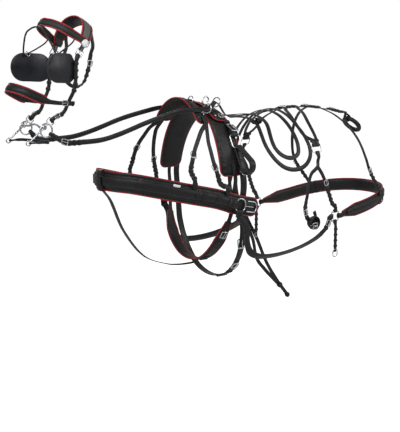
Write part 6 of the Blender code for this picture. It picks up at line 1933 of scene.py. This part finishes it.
# Browband discs: a plain pale dome in a chrome rim, on each end of the browband
DISC_RADIUS = 0.0195
DISC_SHARES = (0.012, -0.518, 0.560)
RIM_ROWS = ((0.0, 0.96), (0.10, 1.0), (0.20, 1.0), (0.27, 0.95), (0.27, 0.86), (0.18, 0.82))
DOME_ROWS = ((0.10, 0.84), (0.20, 0.82), (0.30, 0.70), (0.37, 0.50), (0.41, 0.25), (0.42, 0.01))
disc_lift = CROWN_THICKNESS / 2 + BROWBAND_THICKNESS * LOOP_SHARES[1] + GAP * 2
disc_foot = head(*DISC_SHARES) + OUT * disc_lift
for _, side in SIDES:
    for rows, finish in ((RIM_ROWS, CHROME), (DOME_ROWS, ENAMEL)):
        add("browband_disc", turned(flip(disc_foot, side), flip(OUT, side), FACE_DOWN, rows, 32,
                                    finish, DISC_RADIUS))

# Breastcollar: a rounded buckle over a leaf of leather at each end
U_REACH = 0.047
U_LENGTH = 0.060
U_WIDTH = 0.052
U_BAR = 0.0029
U_LIFT = COLLAR_THICKNESS / 2 + 0.0050
LEAF_REACHES = (0.032, 0.106)
LEAF_SIZES = (0.040, 0.0036, COLLAR_THICKNESS / 2 + 0.0016)
COLLAR_TONGUE_REACH = 0.064
COLLAR_TONGUE_LIFT = COLLAR_THICKNESS / 2 + 0.0042
COLLAR_TONGUE_SIZES = (0.046, 0.0026)
collar = routes["breastcollar_pad"]


def u_frame(reach, inward):
    """A rounded U of bar on the collar, its open ends towards the collar's middle."""
    point, across, up, along, *_ = collar.at(reach)
    along = along * inward
    half = across * (U_WIDTH / 2)
    deep = along * (U_WIDTH / 2 * 0.8)
    end = along * (U_LENGTH / 2)
    line = [end + half] + [spoke + deep - end for spoke in around(24, half, -deep)[:13]]
    line.append(end - half)
    path, _ = refined([(point + spot + up * U_LIFT, up) for spot in line], step=0.004)
    return tube(path, U_BAR, 12)


for _, side in SIDES:
    there = counted(collar, side)
    start, stop = sorted(there(reach) for reach in LEAF_REACHES)
    point, across, up, along, *_ = collar.at(there(COLLAR_TONGUE_REACH))
    add("collar", u_frame(there(U_REACH), -side), layer(collar, start, stop, *LEAF_SIZES),
        tongue_mesh(point + up * COLLAR_TONGUE_LIFT, along * side, up, *COLLAR_TONGUE_SIZES))

# The collar's small sewn tag, plain
TAG_REACHES = (0.482, 0.518)
TAG_WIDTH = 0.012
TAG_THICKNESS = 0.0012
TAG_SHIFT = -0.029
add("collar_tag", layer(collar, *TAG_REACHES, TAG_WIDTH, TAG_THICKNESS,
                        COLLAR_THICKNESS / 2 + TAG_THICKNESS, shift=TAG_SHIFT, finish=ENAMEL))

# Saddle and tugs: studs and a ring on each end of the seat, a billet round each tug
SEAT_RING_REACH = 0.020
SEAT_STUD_SHIFT = 0.030
SEAT_STUD_RADIUS = 0.0062
SEAT_RING_SHIFT = 0.008
SEAT_RING_LIFT = 0.004
SEAT_RING_SIZES = (0.022, 0.036, 0.0022, 0.009)
TUG_BILLET_WIDTH = 0.030
TUG_BILLET_SHARES = (0.17, 0.60)
TUG_KEEPER_SHARES = (0.24, 0.48)
TUG_BUCKLE_SHARE = 0.40
seat = routes["saddle_seat"]
for label, side in SIDES:
    point, across, up, along, *_ = seat.at(counted(seat, side)(SEAT_RING_REACH))
    sideways = across if across.x > 0 else -across
    top = point + up * (SEAT_THICKNESS / 2 + GAP)
    add("saddle", *(stud(top + sideways * shift, up, along, SEAT_STUD_RADIUS)
                    for shift in (SEAT_STUD_SHIFT, -SEAT_STUD_SHIFT)),
        ring_mesh(top + sideways * SEAT_RING_SHIFT + up * SEAT_RING_LIFT, along, up,
                  *SEAT_RING_SIZES))
    loop = routes[label + "_shaft_tug"]
    start, stop = (loop.length * share for share in TUG_BILLET_SHARES)
    billet("tug", loop, TUG_BILLET_WIDTH, start, stop,
           [loop.length * share for share in TUG_KEEPER_SHARES], loop.length * TUG_BUCKLE_SHARE,
           bar=0.0024, length=0.032, body=label + "_tug")

# Hips: keepers on the folded loin ends, and the strap's bundle under the trace bearer
LOIN_KEEPER_REACHES = (0.040, 0.068)
LOIN_KEEPER_SIZES = (0.011, LOIN_WIDTH + 0.003, -0.0065, 0.0030)
BUNDLE = Vector((0.478, -0.318, -0.590))
# Its loops: height, length, tilt and place across
BUNDLE_LOOPS = ((0.070, 0.074, 0.10, -0.011), (0.058, 0.062, -0.18, 0.0),
                (0.050, 0.044, 0.30, 0.011), (0.030, 0.030, 0.05, 0.004))
BUNDLE_WIDTH = 0.019
CLASP_PLACE = Vector((-0.004, -0.024, 0.0))
CLASP_DROPS = (-0.006, -0.026)
CLASP_SIZES = (0.036, 0.014, 0.0020, 0.005)
for name, *_ in LOIN_SHARES:
    for _, side in SIDES:
        for reach in LOIN_KEEPER_REACHES:
            add("hips", keeper(routes[name], counted(routes[name], side)(reach),
                               *LOIN_KEEPER_SIZES))
for _, side in SIDES:
    for tall, long, tilt, shift in BUNDLE_LOOPS:
        cos, sin = math.cos(tilt) / 2, math.sin(tilt) / 2
        spokes = around(28, Vector((cos * long, 0.0, sin * tall)),
                        Vector((-sin * long, 0.0, cos * tall)))
        loop = [(BUNDLE + OUT * -shift + spoke, spoke.normalized()) for spoke in spokes]
        add("hips", swept(mirrored(loop, side), BUNDLE_WIDTH, BRANCH_THICKNESS, True))
    for drop in CLASP_DROPS:
        clasp = flip(BUNDLE + CLASP_PLACE + UP * drop, side)
        add("hips", ring_mesh(clasp, REARWARD, flip(OUT, side), *CLASP_SIZES))

# Breeching: a stitched middle layer and the hip strap's wraps
LAYER_END = 0.120
LAYER_SEAM_END = 0.140
BREECHING_TOP = BREECHING_THICKNESS / 2
LAYER_SIZES = (0.030, 0.0034, BREECHING_TOP + 0.0014)
LAYER_SEAM_LIFT = BREECHING_TOP + 0.0031
WRAP_REACHES = (0.452, 0.486)
WRAP_SIZES = (0.020, BREECHING_HEIGHT + 0.006, -BREECHING_TOP - 0.001, BREECHING_TOP + 0.004)
breeching = routes["breeching"]
add("breeching", layer(breeching, LAYER_END, breeching.length - LAYER_END, *LAYER_SIZES,
                       (True, True)))
sew(breeching, "harness", LAYER_SEAM_END, breeching.length - LAYER_SEAM_END, LAYER_SIZES[0],
    LAYER_SEAM_LIFT)
for _, side in SIDES:
    for reach in WRAP_REACHES:
        add("breeching", keeper(breeching, counted(breeching, side)(reach), *WRAP_SIZES))

# Traces and holdbacks: end keepers, and rings that hang from the holdbacks
TRACE_KEEPER_REACH = 0.085
TRACE_KEEPER_SIZES = (0.014, TRACE_WIDTH + 0.003, -0.009, 0.0035)
HOLDBACK_BILLET = (0.017, 0.070, 0.196, (0.088, 0.118, 0.150, 0.180))
HOLDBACK_RING_SIZES = {"near": (0.044, 0.034, 0.0030), "far": (0.028, 0.018, 0.0021)}
HOLDBACK_RING_BACK = 0.004
HOLDBACK_RING_IN = 0.013
HOLDBACK_RING_LIFT = 0.0010
HOLDBACK_RING_CORNER_SHARE = 0.44
for label, side in SIDES:
    add("traces", keeper(routes[label + "_trace"], TRACE_KEEPER_REACH, *TRACE_KEEPER_SIZES))
    body = label + "_holdback"
    hold = routes[body]
    if side > 0:
        hold = Route([(point, -up) for point, _, up, _ in hold.rows], *hold.sizes[0])
    billet("holdback", hold, *HOLDBACK_BILLET, run=0.011, tips=(False, False), body=body)
    point, _, up, along, *_ = hold.at(hold.length - HOLDBACK_RING_BACK)
    long, wide, bar = HOLDBACK_RING_SIZES[label]
    centre = point + along * (long / 2 - HOLDBACK_RING_IN) + up * HOLDBACK_RING_LIFT
    corner = wide * HOLDBACK_RING_CORNER_SHARE
    add("holdback", ring_mesh(centre, along, up, long, wide, bar, corner), body=body)

# Reins: the knot on the back, the slide and the knotted end
KNOT = Vector((0.262, -0.110, -0.052))
KNOT_WIDTH = 0.018
KNOT_FLATNESS = 0.62
# Its loops: radius, heading, lean and place along the axis
KNOT_LOOPS = ((0.026, 0.5, 0.2, -0.008), (0.024, -0.5, 0.9, 0.004), (0.025, 1.5, -0.4, 0.013))
REIN_KEEPERS = (("near_rein", 0.100), ("far_rein", 0.012))
REIN_KEEPER_SIZES = (0.020, REIN_WIDTH + 0.004, -0.0060, 0.0060)
REIN_END_ROWS = ((-0.014, 0.004), (-0.010, 0.011), (-0.002, 0.0150), (0.008, 0.0160),
                 (0.016, 0.0130), (0.021, 0.0070), (0.022, 0.0002))
REIN_END_BACK = 0.010
REIN_END_CRUMPLE = 0.002
REIN_END_CRUMPLE_SIZE = 0.012
for radius, heading, lean, shift in KNOT_LOOPS:
    axis = Vector((math.cos(heading), math.sin(heading), 0.35 * math.sin(lean))).normalized()
    first = axis.cross(UP).normalized()
    spokes = around(24, first, axis.cross(first) * KNOT_FLATNESS)
    loop = [(KNOT + axis * shift + spoke * radius, spoke.normalized()) for spoke in spokes]
    add("reins", swept(loop, KNOT_WIDTH, STRAP_THICKNESS, True))
for name, back in REIN_KEEPERS:
    add("reins", keeper(routes[name], routes[name].length - back, *REIN_KEEPER_SIZES))
rein = routes["near_rein"]
point, _, up, along, *_ = rein.at(rein.length - REIN_END_BACK)
rein_end = turned(point, along, up, REIN_END_ROWS, 18, STRAP)
add("reins", crumpled(rein_end, REIN_END_CRUMPLE, REIN_END_CRUMPLE_SIZE))

# The gathered fittings, then piping, stitches and the painted shade of punched holes, run through
# their trees
KINDS = {"polished_chrome": "chrome", "pale_enamel": "enamel"}
for (zone, body, finish), meshes in zones.items():
    name = zone if body == "harness" else body
    piece(f"{name}_fittings_{KINDS.get(finish, 'leather')}", meshes, body)
run_through("red_piping", pipes, piping_tree(), PIPING, "harness")
for suffix, gathered, nodes, finish in (("_stitching", seams, stitching_tree(), THREAD),
                                        ("_punched_holes", holes, hole_shade_tree(), HOLE_SHADE)):
    for body, lines in gathered.items():
        if lines:
            run_through(body + suffix, lines, nodes, finish, body)

# Studio
FLOOR_HEIGHT = -1.60
FLOOR_SIDE = 40.0
FLOOR_GLOW = 0.84
MIRRORED_SHARE = 0.14
WHITE = (1.0, 1.0, 1.0, 1.0)
WORLD_LIGHT = 0.34
FLOOR_LOOK = {"Base Color": (0.62, 0.62, 0.62, 1.0), "Roughness": 0.9, "Specular IOR Level": 0.0}
# Soft lamps: place, side, power and the place that they face
LAMPS = {
    "key": ((-2.6, -3.2, 3.0), 2.4, 120.0, (0.0, 0.0, -0.4)),
    "side": ((2.8, -3.4, 1.6), 2.6, 60.0, (0.2, 0.0, -0.4)),
    "back": ((1.0, 3.6, 2.6), 2.6, 60.0, (0.0, 0.0, -0.3)),
    "head": ((-3.6, -0.6, 1.6), 1.6, 30.0, (-0.9, 0.0, 0.1)),
}


def seen_directly(tree):
    """1 for what the camera sees, a share for what metal mirrors, 0 for what lights the object."""
    def maths(operation, one, two):
        return new_node(tree, "ShaderNodeMath", {0: one, 1: two}, operation=operation).outputs[0]

    path = tree.nodes.new("ShaderNodeLightPath").outputs
    mirror = maths("MAXIMUM", path["Is Glossy Ray"], path["Is Transmission Ray"])
    return maths("MAXIMUM", path["Is Camera Ray"], maths("MULTIPLY", mirror, MIRRORED_SHARE))


def pale_floor():
    mesh = bpy.data.meshes.new("floor")
    half = FLOOR_SIDE / 2
    corners = [(x * half, y * half, FLOOR_HEIGHT) for x, y in ((-1, -1), (1, -1), (1, 1), (-1, 1))]
    mesh.from_pydata(corners, [], [(0, 1, 2, 3)])
    paint = bpy.data.materials.new("pale_floor")
    paint.use_nodes = True
    tree = paint.node_tree
    skin = feed(tree, tree.nodes["Principled BSDF"], FLOOR_LOOK)
    amount = new_node(tree, "ShaderNodeMath", {0: seen_directly(tree), 1: FLOOR_GLOW},
                      operation="MULTIPLY")
    glow = new_node(tree, "ShaderNodeEmission", {"Strength": amount.outputs[0]})
    both = new_node(tree, "ShaderNodeAddShader", {0: skin.outputs[0], 1: glow.outputs[0]})
    feed(tree, tree.nodes["Material Output"], {"Surface": both.outputs[0]})
    mesh.materials.append(paint)
    return placed("floor", mesh)


def studio():
    """A pale floor, white surroundings and soft lamps."""
    pale_floor()
    world = bpy.data.worlds.new("studio")
    bpy.context.scene.world = world
    world.use_nodes = True
    tree = world.node_tree
    dim = feed(tree, tree.nodes["Background"], {"Color": WHITE, "Strength": WORLD_LIGHT})
    white = new_node(tree, "ShaderNodeBackground", {"Color": WHITE})
    blend = new_node(tree, "ShaderNodeMixShader",
                     {0: seen_directly(tree), 1: dim.outputs[0], 2: white.outputs[0]})
    feed(tree, tree.nodes["World Output"], {"Surface": blend.outputs[0]})
    for name, (place_at, size, power, aim) in LAMPS.items():
        lamp = bpy.data.lights.new(name, "AREA")
        lamp.size, lamp.energy = size, power
        holder = placed(name, lamp)
        holder.location = place_at
        way = Vector(aim) - Vector(place_at)
        holder.rotation_euler = way.to_track_quat("-Z", "Y").to_euler()


studio()
